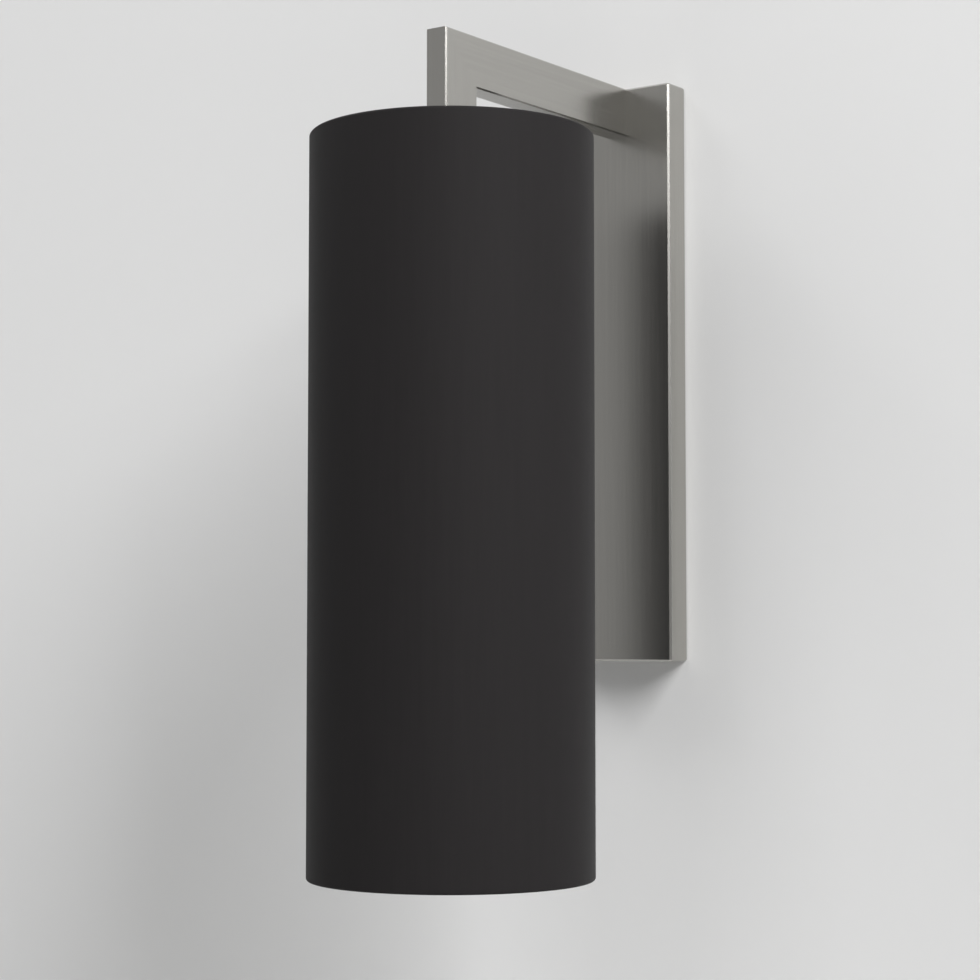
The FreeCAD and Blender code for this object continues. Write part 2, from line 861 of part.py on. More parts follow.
def bulb_housing():
    """Moulded body that flares from the cap to the globe, with a spigot inside the cap."""
    neck = bulb_neck_diameter / 2
    spigot = bulb_cap_diameter / 2 - bulb_cap_wall - slip
    radius = bulb_diameter / 2
    shoulder = bulb_cap_bottom - bulb_neck_length
    return turned(
        (0, bulb_cap_bottom + bulb_spigot_length),
        (spigot, bulb_cap_bottom + bulb_spigot_length),
        (spigot, bulb_cap_bottom),
        (neck, bulb_cap_bottom),
        (neck, shoulder),
        (radius, shoulder - (radius - neck)),
        (radius, bulb_joint),
        (0, bulb_joint),
    )


def bulb_globe():
    """Opal tube with a bevelled flat end, closed by its joint with the housing."""
    radius = bulb_diameter / 2
    bevel = bulb_end_bevel
    return turned(
        (0, bulb_joint),
        (radius, bulb_joint),
        (radius, bulb_bottom + bevel),
        (radius - bevel, bulb_bottom),
        (0, bulb_bottom),
    )


# ---- wiring ------------------------------------------------------------------------------------


def corner_bend():
    """Largest bend at the arm's corner that keeps clear of the tube's inner corner."""
    half_inside = arm_height / 2 - arm_wall
    margin = wire_diameter / 2 + 2 * wire_play
    return (math.sqrt(2) * half_inside - margin) / (math.sqrt(2) - 1)


def bare_end(x, y, start, end):
    """The stripped core at the end of a wire."""
    size = wire_core_diameter
    return block((x - size / 2, x + size / 2), (y - size / 2, y + size / 2), (start, end))


def block_entry():
    """Where the insulation of a wire stops above its clamp."""
    return clamp_top + slip


def lamp_wire(pole, side):
    """One core from the terminal block, past the upper fixing, along the arm and down to the lampholder."""
    block_x = pole_places()[pole]
    detour_x = -wire_detour - (wire_detour_spread if side < 0 else 0)
    pair_x = side * wire_pair_spread / 2
    end_x = side * terminal_spread
    start_z = block_entry()
    points = [
        (block_x, clamp_y, start_z),
        (block_x, clamp_y, start_z + 8.0),
        (detour_x, pair_y, start_z + 22.0),
        (detour_x, pair_y, bar_middle - 27.0),
        (pair_x, pair_y, bar_middle - 12.0),
        (pair_x, pair_y, bar_middle),
        (pair_x, lamp_y, bar_middle),
        (pair_x, lamp_y, nipple_bottom - 2.0),
        (end_x, lamp_y, terminal_top + 4.0),
        (end_x, lamp_y, terminal_top),
    ]
    easy_bend = 4 * wire_diameter
    entry_bend = pair_y - backing_back
    fan_bend = 2.5 * wire_diameter
    bends = [easy_bend] * 4 + [entry_bend, corner_bend(), fan_bend, fan_bend]
    wire = bent_wire(wire_diameter, points, bends)
    at_block = bare_end(block_x, clamp_y, start_z + 0.5, block_centre_z + 1.0)
    at_lamp = bare_end(end_x, lamp_y, terminal_top + 0.5, terminal_top - 4.5)
    return joined(wire, at_block, at_lamp)


def earth_wire():
    """Core from the last pole to the earth tag."""
    x = pole_places()[-1]
    start_z = block_entry()
    points = [
        (x, clamp_y, start_z),
        (x, clamp_y, start_z + 12.0),
        (earth_offset_x, tag_barrel_y, start_z + 34.0),
        (earth_offset_x, tag_barrel_y, tag_barrel_bottom + 4.0),
    ]
    wire = bent_wire(wire_diameter, points, [20.0, 20.0])
    return joined(wire, bare_end(x, clamp_y, start_z + 0.5, block_centre_z + 1.0))


# ---- all pieces --------------------------------------------------------------------------------

PIECES = {
    "wall_bracket": wall_bracket,
    "cable_grommet": cable_grommet,
    "terminal_block": terminal_block,
    "terminal_clamps": terminal_clamps,
    "terminal_screws": terminal_screws,
    "wall_plate_cover": wall_plate_cover,
    "cover_screws": cover_screws,
    "arm_backing_plate": arm_backing_plate,
    "arm_screws": arm_screws,
    "earth_screw": earth_screw,
    "earth_tag": earth_tag,
    "arm": arm,
    "arm_wall_block": arm_wall_block,
    "leg_foot_block": leg_foot_block,
    "nipple": nipple,
    "locknut": locknut,
    "holder_cap": holder_cap,
    "holder_body": holder_body,
    "holder_insulator": holder_insulator,
    "holder_terminals": holder_terminals,
    "centre_contact": centre_contact,
    "side_contact": side_contact,
    "shade_fabric": shade_fabric,
    "shade_liner": shade_liner,
    "shade_top_frame": shade_top_frame,
    "shade_bottom_hoop": shade_bottom_hoop,
    "shade_ring": shade_ring,
    "bulb_screw_cap": bulb_screw_cap,
    "bulb_tip_insulator": bulb_tip_insulator,
    "bulb_tip_contact": bulb_tip_contact,
    "bulb_housing": bulb_housing,
    "bulb_globe": bulb_globe,
    "live_wire": lambda: lamp_wire(0, -1),
    "neutral_wire": lambda: lamp_wire(1, 1),
    "earth_wire": earth_wire,
}


def export(name, shape):
    """Writes one piece, or a group of like pieces, as one file."""
    if isinstance(shape, list):
        shape = Part.makeCompound(shape)
    box = shape.BoundBox
    size = " x ".join(f"{s:.1f}" for s in (box.XLength, box.YLength, box.ZLength))
    facts = f"{len(shape.Solids)} solid(s), {size} mm, {shape.Volume / 1000:.3f} cm3, valid {shape.isValid()}"
    print(f"{name}: {facts}")
    shape.exportStep(os.path.join(OUT, f"{name}.step"))


os.makedirs(OUT, exist_ok=True)
for piece_name, make_piece in PIECES.items():
    export(piece_name, make_piece())
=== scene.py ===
"""A tube wall light: brushed nickel wall plate and flat arm, and a tall black cloth shade.

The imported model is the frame. Metres, +Z up, the wall at Y = 0 and the light in front of it,
towards -Y. Each class below is one sub-assembly, with its sizes, its meshes and its finishes.
"""

import logging
import math
from dataclasses import dataclass
from enum import Enum
from functools import cache
from typing import Callable, Iterable, Sequence, TypeAlias

import bmesh
import bpy
from mathutils import Matrix, Vector


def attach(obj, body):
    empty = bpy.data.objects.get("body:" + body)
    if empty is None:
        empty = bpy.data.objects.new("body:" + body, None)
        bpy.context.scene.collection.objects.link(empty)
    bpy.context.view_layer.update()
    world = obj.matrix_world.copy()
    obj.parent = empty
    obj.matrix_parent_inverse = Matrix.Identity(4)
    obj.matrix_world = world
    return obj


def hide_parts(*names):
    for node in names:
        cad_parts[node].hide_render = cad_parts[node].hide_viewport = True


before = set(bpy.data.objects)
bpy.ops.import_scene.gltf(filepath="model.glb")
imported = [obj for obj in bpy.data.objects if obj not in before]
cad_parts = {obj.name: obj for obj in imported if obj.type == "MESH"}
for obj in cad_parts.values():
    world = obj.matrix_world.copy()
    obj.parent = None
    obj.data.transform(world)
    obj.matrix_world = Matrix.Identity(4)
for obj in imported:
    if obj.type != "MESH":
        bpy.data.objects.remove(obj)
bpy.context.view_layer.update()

log = logging.getLogger("tube_wall_light")

Step = tuple[float, float]
Place = tuple[float, float, float]
Colour = tuple[float, float, float]
Move = Callable[[float, float, float], Step]
Piece = bpy.types.Object
Material = bpy.types.Material
Socket = bpy.types.NodeSocket
Value: TypeAlias = "Signal | float"

MM = 0.001
CLOSE = 1e-6  # two places this near each other are one
LAMP_Y = -0.161
LAMP: Step = (0.0, LAMP_Y)
CENTRE: Place = (0.0, LAMP_Y, 0.0)
RING_SPACING = 0.3 * MM  # between the rings of a threaded wall
NEAR_WALL = 0.1 * MM  # a flat face's middle lies this near the round wall


# Shader building


class Signal:
    """A shader value that Python's own operators work on."""

    def __init__(self, tree: bpy.types.NodeTree, socket: Socket) -> None:
        """Wraps one output socket of a tree."""
        self.tree = tree
        self.socket = socket

    def apply(self, operation: str, *values: Value) -> "Signal":
        """Adds one Math node.

        Args:
            operation: The node's operation.
            values: Its inputs, in order.

        Returns:
            The node's result.
        """
        node = self.tree.nodes.new("ShaderNodeMath")
        node.operation = operation
        for plug, value in zip(node.inputs, values):
            if isinstance(value, Signal):
                self.tree.links.new(value.socket, plug)
            else:
                plug.default_value = value
        return Signal(self.tree, node.outputs[0])

    def __add__(self, other: Value) -> "Signal":
        """Sum."""
        return self.apply("ADD", self, other)

    def __sub__(self, other: Value) -> "Signal":
        """Difference."""
        return self.apply("SUBTRACT", self, other)

    def __rsub__(self, other: float) -> "Signal":
        """Difference from a number."""
        return self.apply("SUBTRACT", other, self)

    def __mul__(self, other: Value) -> "Signal":
        """Product."""
        return self.apply("MULTIPLY", self, other)

    def __gt__(self, other: Value) -> "Signal":
        """One where this value is the larger, else zero."""
        return self.apply("GREATER_THAN", self, other)

    __radd__ = __add__
    __rmul__ = __mul__

    def sine(self) -> "Signal":
        """Sine of this value."""
        return self.apply("SINE", self)

    def size(self) -> "Signal":
        """This value without its sign."""
        return self.apply("ABSOLUTE", self)


class Recipe:
    """A material that is being put together."""

    def __init__(self, name: str) -> None:
        """Starts an empty material.

        Args:
            name: Its name.
        """
        self.material = bpy.data.materials.new(name)
        self.material.use_nodes = True
        self.tree = self.material.node_tree
        self.tree.nodes.clear()

    def node(self, kind: str, settings: dict | None = None,
             inputs: dict | None = None) -> bpy.types.Node:
        """Adds a node.

        Args:
            kind: The node's type without its ShaderNode prefix.
            settings: Attributes that are set first.
            inputs: A value, a Signal or a socket for each named or numbered input.

        Returns:
            The new node.
        """
        node = self.tree.nodes.new("ShaderNode" + kind)
        for name, value in (settings or {}).items():
            setattr(node, name, value)
        for name, value in (inputs or {}).items():
            if isinstance(value, Signal):
                value = value.socket
            if isinstance(value, Socket):
                self.tree.links.new(value, node.inputs[name])
            else:
                node.inputs[name].default_value = value
        return node

    def noise(self, scale: Sequence[float], detail: float = 2.0, source: str = "Object") -> Signal:
        """Soft noise from 0 to 1.

        Args:
            scale: Features in a metre on each axis.
            detail: Octaves.
            source: Object, or UV for the piece's own map.

        Returns:
            The noise.
        """
        place = self.node("TexCoord").outputs[source]
        place = self.node("Mapping", inputs={"Vector": place, "Scale": scale}).outputs[0]
        inputs = {"Vector": place, "Scale": 1.0, "Detail": detail, "Roughness": 0.55}
        return Signal(self.tree, self.node("TexNoise", inputs=inputs).outputs[0])

    def axes(self, source: str = "Object") -> tuple[Signal, Signal, Signal]:
        """Separates the coordinates of a point.

        Args:
            source: Object, or UV for the piece's own map.

        Returns:
            The three coordinates.
        """
        place = self.node("TexCoord").outputs[source]
        parts = self.node("SeparateXYZ", inputs={"Vector": place})
        return tuple(Signal(self.tree, plug) for plug in parts.outputs)

    def blend(self, factor: Signal, low: Colour, high: Colour) -> Socket:
        """A colour between two, by a factor."""
        inputs = {0: factor, 6: (*low, 1.0), 7: (*high, 1.0)}
        return self.node("Mix", {"data_type": "RGBA", "clamp_factor": True}, inputs).outputs[2]

    def bump(self, height: Signal, strength: float, depth: float) -> Socket:
        """The normal of a relief whose heights of 0 and 1 lie a depth in metres apart."""
        inputs = {"Height": height, "Strength": strength, "Distance": depth}
        return self.node("Bump", inputs=inputs).outputs[0]

    def surface(self, inputs: dict) -> None:
        """Ends the material with one shader, by its inputs."""
        shader = self.node("BsdfPrincipled", inputs=inputs)
        self.node("OutputMaterial", inputs={"Surface": shader.outputs[0]})


def tones(colour: Colour, spread: float) -> tuple[Colour, Colour]:
    """A darker and a lighter tone of a colour."""
    dark = tuple(c * (1 - spread) for c in colour)
    return dark, tuple(min(1.0, c * (1 + spread)) for c in colour)


class Grain(Enum):
    """Which way a metal face is brushed."""

    UPRIGHT = "upright"
    MITRED = "mitred"


class Finish:
    """The look of a surface."""

    name: str

    def mix(self, recipe: Recipe) -> None:
        """Puts the look together, in each kind of finish."""
        raise NotImplementedError

    @cache
    def material(self) -> Material:
        """Mixes the look at its first use.

        Returns:
            The look's material.
        """
        recipe = Recipe(self.name)
        self.mix(recipe)
        return recipe.material


@dataclass(frozen=True)
class BrushedMetal(Finish):
    """Satin metal with fine lines from a brushing belt."""

    name: str
    colour: Colour
    grain: Grain
    fine: float = 5200.0
    broad: float = 700.0
    drawn_out: float = 90.0
    fine_share: float = 0.35
    spread: float = 0.12
    roughness: float = 0.21
    uneven: float = 0.04
    relief: float = 0.3
    relief_share: float = 0.7
    depth: float = 0.02 * MM
    corner: Step = (-0.161, 0.1375)

    def lines(self, recipe: Recipe, per_metre: float) -> Signal:
        """Noise drawn out along the brushing, which turns at the arm's corner if it is mitred.

        Args:
            recipe: The material.
            per_metre: Lines in a metre across the brushing.

        Returns:
            A value from 0 to 1.
        """
        along = per_metre / self.drawn_out
        upright = recipe.noise((per_metre, per_metre, along))
        if self.grain is Grain.UPRIGHT:
            return upright
        level = recipe.noise((per_metre, along, per_metre))
        _, y, z = recipe.axes()
        bar = (y - self.corner[0]) + (z - self.corner[1]) > 0.0
        return level * bar + upright * (1 - bar)

    def mix(self, recipe: Recipe) -> None:
        """Puts the look together.

        Args:
            recipe: The empty material.
        """
        fine = self.lines(recipe, self.fine)
        broad = self.lines(recipe, self.broad)
        streaks = fine * self.fine_share + broad * (1 - self.fine_share)
        relief = fine * self.relief_share + broad * (1 - self.relief_share)
        recipe.surface({
            "Base Color": recipe.blend(streaks, *tones(self.colour, self.spread)),
            "Metallic": 1.0,
            "Roughness": self.roughness + fine * self.uneven + broad * self.uneven,
            "Normal": recipe.bump(relief, self.relief, self.depth),
        })


@dataclass(frozen=True)
class Moulded(Finish):
    """Plastic, rubber or paint with a faint cloud and a fine even texture."""

    name: str
    colour: Colour
    roughness: float = 0.45
    relief: float = 0.15
    per_metre: float = 2500.0
    coat: float = 0.0
    see_through: float = 0.0
    metal: float = 0.0
    spread: float = 0.05
    uneven: float = 0.08
    cloud: float = 60.0
    octaves: float = 3.0
    drawn_out: float = 1.0
    depth: float = 0.05 * MM
    scatter: float = 4.0 * MM

    def mix(self, recipe: Recipe) -> None:
        """Puts the look together.

        Args:
            recipe: The empty material.
        """
        fine, along = self.per_metre, self.per_metre / self.drawn_out
        pebbles = recipe.noise((fine, fine, along), 3.0)
        cloud = recipe.noise((self.cloud,) * 3, self.octaves)
        recipe.surface({
            "Base Color": recipe.blend(cloud, *tones(self.colour, self.spread)),
            "Metallic": self.metal,
            "Roughness": self.roughness - self.uneven / 2 + cloud * self.uneven,
            "Normal": recipe.bump(pebbles, self.relief, self.depth),
            "Coat Weight": self.coat,
            "Subsurface Weight": self.see_through,
            "Subsurface Scale": self.scatter,
        })


@dataclass(frozen=True)
class PlatedMetal(Moulded):
    """Plated or rolled metal with a faint cloudy bloom."""

    roughness: float = 0.3
    per_metre: float = 2600.0
    metal: float = 1.0
    spread: float = 0.08
    uneven: float = 0.1
    cloud: float = 140.0
    octaves: float = 4.0
    drawn_out: float = 5.2


ZINC = PlatedMetal("zinc_plate", (0.66, 0.67, 0.68))
BRASS = PlatedMetal("yellow_brass", (0.80, 0.62, 0.30), 0.28)
TIN = PlatedMetal("tinned_copper", (0.75, 0.73, 0.70), 0.33)
POWDER_COAT = Moulded("white_powder_coat", (0.80, 0.80, 0.78), 0.38, 0.22, 1400.0)
BLACK_PLASTIC = Moulded("black_moulded_plastic", (0.028, 0.027, 0.026), 0.42, 0.2, 1700.0)


@dataclass(frozen=True)
class StripedInsulation(Finish):
    """Insulation in two colours, in a slow spiral along an upright wire."""

    name: str
    first: Colour
    second: Colour
    across: float = 1500.0
    along: float = 240.0
    share: float = 0.25
    roughness: float = 0.4
    uneven: float = 0.08
    pebbles: float = 3000.0
    relief: float = 0.1
    depth: float = 0.03 * MM

    def mix(self, recipe: Recipe) -> None:
        """Puts the look together.

        Args:
            recipe: The empty material.
        """
        x, y, z = recipe.axes()
        stripe = (x * self.across + y * self.across + z * self.along).sine() > self.share
        grain = recipe.noise((self.pebbles,) * 3)
        recipe.surface({
            "Base Color": recipe.blend(stripe, self.first, self.second),
            "Roughness": self.roughness + grain * self.uneven,
            "Normal": recipe.bump(grain, self.relief, self.depth),
        })


@dataclass(frozen=True)
class ShadeCloth(Finish):
    """Plain woven cloth bonded to a stiff liner, with slightly uneven upright threads."""

    name: str
    colour: Colour
    spread: float = 0.45
    thread: float = 0.00042
    slubs: Place = (1300.0, 22.0, 1.0)
    drift: Place = (260.0, 9.0, 1.0)
    shares: Place = (0.4, 0.2, 0.5)
    balance: float = 0.1
    roughness: float = 0.62
    uneven: float = 0.12
    gloss: float = 0.14
    sheen: Step = (0.03, 0.4)
    relief: float = 0.4
    relief_share: float = 0.7
    depth: float = 0.1 * MM

    def mix(self, recipe: Recipe) -> None:
        """Puts the look together.

        Args:
            recipe: The empty material.
        """
        u, v, _ = recipe.axes("UV")
        turn = math.pi / self.thread
        across, up = (u * turn).sine(), (v * turn).sine()
        over = across * up > 0.0
        weave = up.size() * over + across.size() * (1 - over)
        slubs = recipe.noise(self.slubs, 3.0, "UV")
        drift = recipe.noise(self.drift, 2.0, "UV")
        tone = slubs * self.shares[0] + drift * self.shares[1] + weave * self.shares[2]
        relief = weave * self.relief_share + slubs * (1 - self.relief_share)
        recipe.surface({
            "Base Color": recipe.blend(tone - self.balance, *tones(self.colour, self.spread)),
            "Roughness": self.roughness + slubs * self.uneven,
            "Specular IOR Level": self.gloss,
            "Sheen Weight": self.sheen[0],
            "Sheen Roughness": self.sheen[1],
            "Normal": recipe.bump(relief, self.relief, self.depth),
        })


@dataclass(frozen=True)
class RoomSurface(Finish):
    """Painted wall or floor that is seen from its front only."""

    name: str
    colour: Colour
    roller: float = 420.0
    relief: float = 0.04
    depth: float = 0.3 * MM

    def mix(self, recipe: Recipe) -> None:
        """Puts the look together.

        Args:
            recipe: The empty material.
        """
        roller = recipe.noise((self.roller,) * 3, 3.0)
        paint = recipe.node("BsdfDiffuse", inputs={
            "Color": (*self.colour, 1.0),
            "Normal": recipe.bump(roller, self.relief, self.depth),
        })
        behind = recipe.node("NewGeometry").outputs["Backfacing"]
        nothing = recipe.node("BsdfTransparent")
        sides = {0: behind, 1: paint.outputs[0], 2: nothing.outputs[0]}
        both = recipe.node("MixShader", inputs=sides)
        recipe.node("OutputMaterial", inputs={"Surface": both.outputs[0]})


# Modelling


def rounded(middle: Step, radius: float, start: float, end: float, count: int = 5) -> list[Step]:
    """Points of an arc in a section.

    Args:
        middle: The arc's centre, as radius and height.
        radius: The arc's radius.
        start: First angle in degrees, from outwards towards up.
        end: Last angle in degrees.
        count: Steps along the arc.

    Returns:
        The points, both ends among them.
    """
    angles = [math.radians(start + (end - start) * i / count) for i in range(count + 1)]
    return [(middle[0] + radius * math.cos(a), middle[1] + radius * math.sin(a)) for a in angles]


def wall_rings(radius: float, start: float, end: float, spacing: float) -> list[Step]:
    """Rings spaced along a straight wall, for a thread to be cut in."""
    count = max(1, round(abs(end - start) / spacing))
    return [(radius, start + (end - start) * i / count) for i in range(count + 1)]


def hexagon(flats: float, turn: float) -> float:
    """Radius at a turn of a hexagon whose flats lie at the given radius."""
    return flats / math.cos((turn + math.pi / 6) % (math.pi / 3) - math.pi / 6)


def turn_about_lamp(degrees: float) -> Matrix:
    """A turn about the lamp's upright axis."""
    axis = Matrix.Translation(CENTRE)
    return axis @ Matrix.Rotation(math.radians(degrees), 4, "Z") @ axis.inverted()


@dataclass(frozen=True)
class Thread:
    """A screw thread in a plain wall, from a low to a high end, with flatter flanks if sharp."""

    pitch: float
    depth: float
    low: float
    high: float
    crest: float
    sharp: float = 1.0
    inward: bool = True

    def __call__(self, radius: float, z: float, turn: float) -> Step:
        """Moves one point of the wall, as reshape asks.

        Args:
            radius: Its radius.
            z: Its height.
            turn: Its turn in radians.

        Returns:
            Its new radius and height.
        """
        if abs(radius - self.crest) > CLOSE or not self.low <= z <= self.high:
            return radius, z
        wave = math.sin(2 * math.pi * z / self.pitch - turn) * self.sharp
        fade = min(1.0, (z - self.low) / self.pitch, (self.high - z) / self.pitch)
        groove = self.depth * fade * (0.5 - 0.5 * max(-1.0, min(1.0, wave)))
        return (radius - groove if self.inward else radius + groove), z


def clear() -> None:
    """Leaves edit mode with nothing selected, ready to pick points."""
    if bpy.context.object and bpy.context.object.mode != "OBJECT":
        bpy.ops.object.mode_set(mode="OBJECT")
    bpy.context.scene.tool_settings.mesh_select_mode = (True, False, False)
    bpy.ops.object.select_all(action="DESELECT")


def pick(*objects: Piece) -> None:
    """Selects objects alone and makes the first active.

    Args:
        objects: The objects.
    """
    clear()
    for obj in objects:
        obj.select_set(True)
    bpy.context.view_layer.objects.active = objects[0]


def settled() -> Piece:
    """Ends the work on a piece, with its origin at the frame's, unturned and unscaled.

    Returns:
        The piece.
    """
    bpy.ops.object.mode_set(mode="OBJECT")
    bpy.ops.object.transform_apply(location=True, rotation=True, scale=True)
    return bpy.context.object


def choose(test: Callable[[Vector], bool], faces: bool = False) -> None:
    """Selects points, or faces by their middles, in edit mode.

    Args:
        test: Whether a place is chosen.
        faces: Whether faces are chosen in place of points.
    """
    bpy.ops.mesh.select_mode(type="FACE" if faces else "VERT")
    bpy.ops.mesh.select_all(action="DESELECT")
    obj = bpy.context.object
    shape = bmesh.from_edit_mesh(obj.data)
    for part in shape.faces if faces else shape.verts:
        place = part.calc_center_median() if faces else part.co
        if test(obj.matrix_world @ place):
            part.select_set(True)
    shape.select_flush_mode()
    bmesh.update_edit_mesh(obj.data)


def extrude(along: Place, spread: float = 1.0, middle: Place = (0, 0, 0)) -> None:
    """Extrudes what is selected, moves it and scales it level.

    Args:
        along: The move.
        spread: The scale across.
        middle: What it scales about.
    """
    bpy.ops.mesh.extrude_region_move(TRANSFORM_OT_translate={"value": along})
    if spread != 1.0:
        bpy.ops.transform.resize(value=(spread, spread, 1.0), center_override=middle)


def turned(name: str, steps: Sequence[Step], sides: int = 96, at: Step = LAMP) -> Piece:
    """A body turned about an upright axis, drawn out ring by ring.

    Args:
        name: The piece's name.
        steps: Radius and height of each ring. A radius of 0 at either end closes it there,
            and a last ring like the first joins the two.
        sides: Flats round the body.
        at: The axis, as X and Y.

    Returns:
        The new piece.
    """
    clear()
    start = 1 if steps[0][0] == 0 else 0
    radius, height = steps[start]
    bpy.ops.mesh.primitive_circle_add(vertices=sides, radius=radius, fill_type="NOTHING",
                                      location=(*at, height), enter_editmode=True)
    obj = bpy.context.object
    obj.name = obj.data.name = name
    if start:
        extrude((0, 0, steps[0][1] - height))
        bpy.ops.mesh.merge(type="CENTER")
        choose(lambda p: abs(p.z - height) < CLOSE
               and math.hypot(p.x - at[0], p.y - at[1]) > radius / 2)
    for (near, low), (far, high) in zip(steps[start:], steps[start + 1:]):
        extrude((0, 0, high - low), (far or near) / near, (*at, high))
        if far == 0:
            bpy.ops.mesh.merge(type="CENTER")
    bpy.ops.mesh.select_all(action="SELECT")
    if steps[0] == steps[-1]:
        bpy.ops.mesh.remove_doubles(threshold=CLOSE)
    bpy.ops.mesh.normals_make_consistent(inside=False)
    return settled()


def reshape(obj: Piece, place: Move, at: Step = LAMP) -> None:
    """Moves each point of a turned body out or in and up or down.

    Args:
        obj: The piece.
        place: From a point's radius, height and turn in radians, its new radius and height.
        at: The axis, as X and Y.
    """
    for vertex in obj.data.vertices:
        x, y, z = vertex.co.x - at[0], vertex.co.y - at[1], vertex.co.z
        radius = math.hypot(x, y)
        if radius > CLOSE:
            new, z = place(radius, z, math.atan2(y, x))
            vertex.co = (at[0] + x * new / radius, at[1] + y * new / radius, z)


def merged(name: str, *parts: Piece) -> Piece:
    """Joins parts into the first of them.

    Args:
        name: The whole's name.
        parts: The parts.

    Returns:
        The whole.
    """
    pick(*parts)
    bpy.ops.object.join()
    parts[0].name = parts[0].data.name = name
    return parts[0]


def copied(obj: Piece, turn: Matrix) -> Piece:
    """Copies a part with a mesh of its own.

    Args:
        obj: The part.
        turn: How the copy is turned.

    Returns:
        The copy.
    """
    pick(obj)
    bpy.ops.object.duplicate(linked=False)
    twin = bpy.context.object
    twin.data.transform(turn)
    return twin


def handed_over(obj: Piece, finish: Finish, body: str,
                nodes: Iterable[str], angle: float = 32.0) -> Piece:
    """Finishes a piece and ties it to the frame.

    Args:
        obj: The piece.
        finish: Its look.
        body: The body it moves with.
        nodes: The CAD nodes that it stands for.
        angle: Sharpest bend that is shaded smooth, in degrees.

    Returns:
        The same piece.
    """
    obj.data.materials.clear()
    obj.data.materials.append(finish.material())
    pick(obj)
    bpy.ops.object.shade_smooth_by_angle(angle=math.radians(angle))
    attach(obj, body)
    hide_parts(*nodes)
    return obj


# The light


@dataclass
class WallSide:
    """Wall plate, arm, and what is hidden behind and inside them."""

    nickel: Colour = (0.455, 0.445, 0.42)
    grommet_bore: float = 4.5 * MM
    grommet_neck: float = 9.95 * MM
    grommet_lip: float = 11.95 * MM
    grommet_top: float = 3.0 * MM
    grommet_seat: float = 1.55 * MM
    grommet_rounds: Step = (0.4 * MM, 0.6 * MM)
    grub_radius: float = 2.0 * MM
    grub_length: float = 8.0 * MM
    grub_pitch: float = 0.7 * MM
    grub_thread: float = 0.3 * MM
    grub_top: float = 149.6 * MM
    grub_y: float = -4.5 * MM
    socket_flats: float = 1.0 * MM
    socket_depth: float = 2.2 * MM
    socket_edge: float = 0.12 * MM

    def finishes(self) -> dict[str, Finish]:
        """Lists the CAD nodes that stay.

        Returns:
            Each one's finish.
        """
        upright = BrushedMetal("brushed_nickel_upright", self.nickel, Grain.UPRIGHT)
        pair = (0.08, 0.30, 0.06), (0.75, 0.62, 0.05)
        zinc_nodes = ("wall_bracket", "arm_backing_plate", "arm_wall_block", "arm_screws",
                      "nipple", "terminal_screws")
        return {
            "wall_plate_cover": upright, "leg_foot_block": upright,
            "arm": BrushedMetal("brushed_nickel_mitred", self.nickel, Grain.MITRED),
            **dict.fromkeys(zinc_nodes, ZINC),
            "earth_screw": BRASS, "terminal_clamps": BRASS, "earth_tag": TIN,
            "terminal_block": Moulded("white_terminal_plastic", (0.80, 0.80, 0.77)),
            "live_wire": Moulded("brown_insulation", (0.20, 0.085, 0.035), 0.4),
            "neutral_wire": Moulded("blue_insulation", (0.035, 0.13, 0.42), 0.4),
            "earth_wire": StripedInsulation("green_yellow_insulation", *pair),
        }

    def grommet(self) -> Piece:
        """Makes the rubber bush with its rounded lip, turned and then laid along the cable.

        Returns:
            The piece.
        """
        lip, neck, bore = self.grommet_lip, self.grommet_neck, self.grommet_bore
        top, seat, (small, large) = self.grommet_top, self.grommet_seat, self.grommet_rounds
        steps = [
            (bore, large), *rounded((bore + small, large), small, 180, 270, 4)[1:],
            (neck - 0.3 * MM, 0.2 * MM), (neck, 0.5 * MM), (neck, seat), (lip - 0.5 * MM, seat),
            *rounded((lip - large, 2.3 * MM), large, -60, 90, 7),
            (bore + 0.8 * MM, top), *rounded((bore + large, top - large), large, 90, 180, 5),
            (bore, large),
        ]
        bush = turned("rubber_grommet", steps, 72, at=(0.0, 0.0))
        bush.data.transform(Matrix.Rotation(math.radians(90), 4, "X"))
        rubber = Moulded("black_rubber", (0.03, 0.03, 0.03), 0.7, 0.3)
        return handed_over(bush, rubber, "lamp_body", ["cable_grommet"])

    def grub_screws(self) -> Piece:
        """Makes the set screws at the plate's ends, with hexagon sockets and cone points.

        Returns:
            Both screws as one piece.
        """
        r, top, low = self.grub_radius, self.grub_top, self.grub_top - self.grub_length
        flats, deep, shallow = self.socket_flats, top - self.socket_depth, top - self.socket_edge
        steps = [
            (0.0, low + 0.9 * MM), (r * 0.55, low), (r - 0.4 * MM, low + 0.1 * MM),
            (r, low + 0.6 * MM),
            *wall_rings(r, low + 0.61 * MM, top - 0.41 * MM, self.grub_pitch / 8),
            (r, top - 0.4 * MM), (r - 0.35 * MM, top - 0.05 * MM), (r - 0.5 * MM, top),
            (flats * 1.12, top), (flats, shallow), (flats, deep), (0.0, deep - 0.5 * MM),
        ]
        axis = (0.0, self.grub_y)
        screw = turned("set_screw", steps, 48, at=axis)
        ends = low + 0.7 * MM, top - 0.5 * MM
        reshape(screw, Thread(self.grub_pitch, self.grub_thread, *ends, r), axis)

        def socket(radius: float, z: float, turn: float) -> Step:
            """Draws the socket's rings out into a hexagon."""
            inside = abs(radius - flats) < CLOSE and deep - CLOSE <= z <= shallow + CLOSE
            return (hexagon(flats, turn) if inside else radius), z

        reshape(screw, socket, axis)
        other = copied(screw, Matrix.Rotation(math.pi, 4, "Y"))
        both = merged("set_screws", screw, other)
        steel = PlatedMetal("bright_screw_steel", (0.62, 0.62, 0.61), 0.26)
        return handed_over(both, steel, "lamp_body", ["cover_screws"])


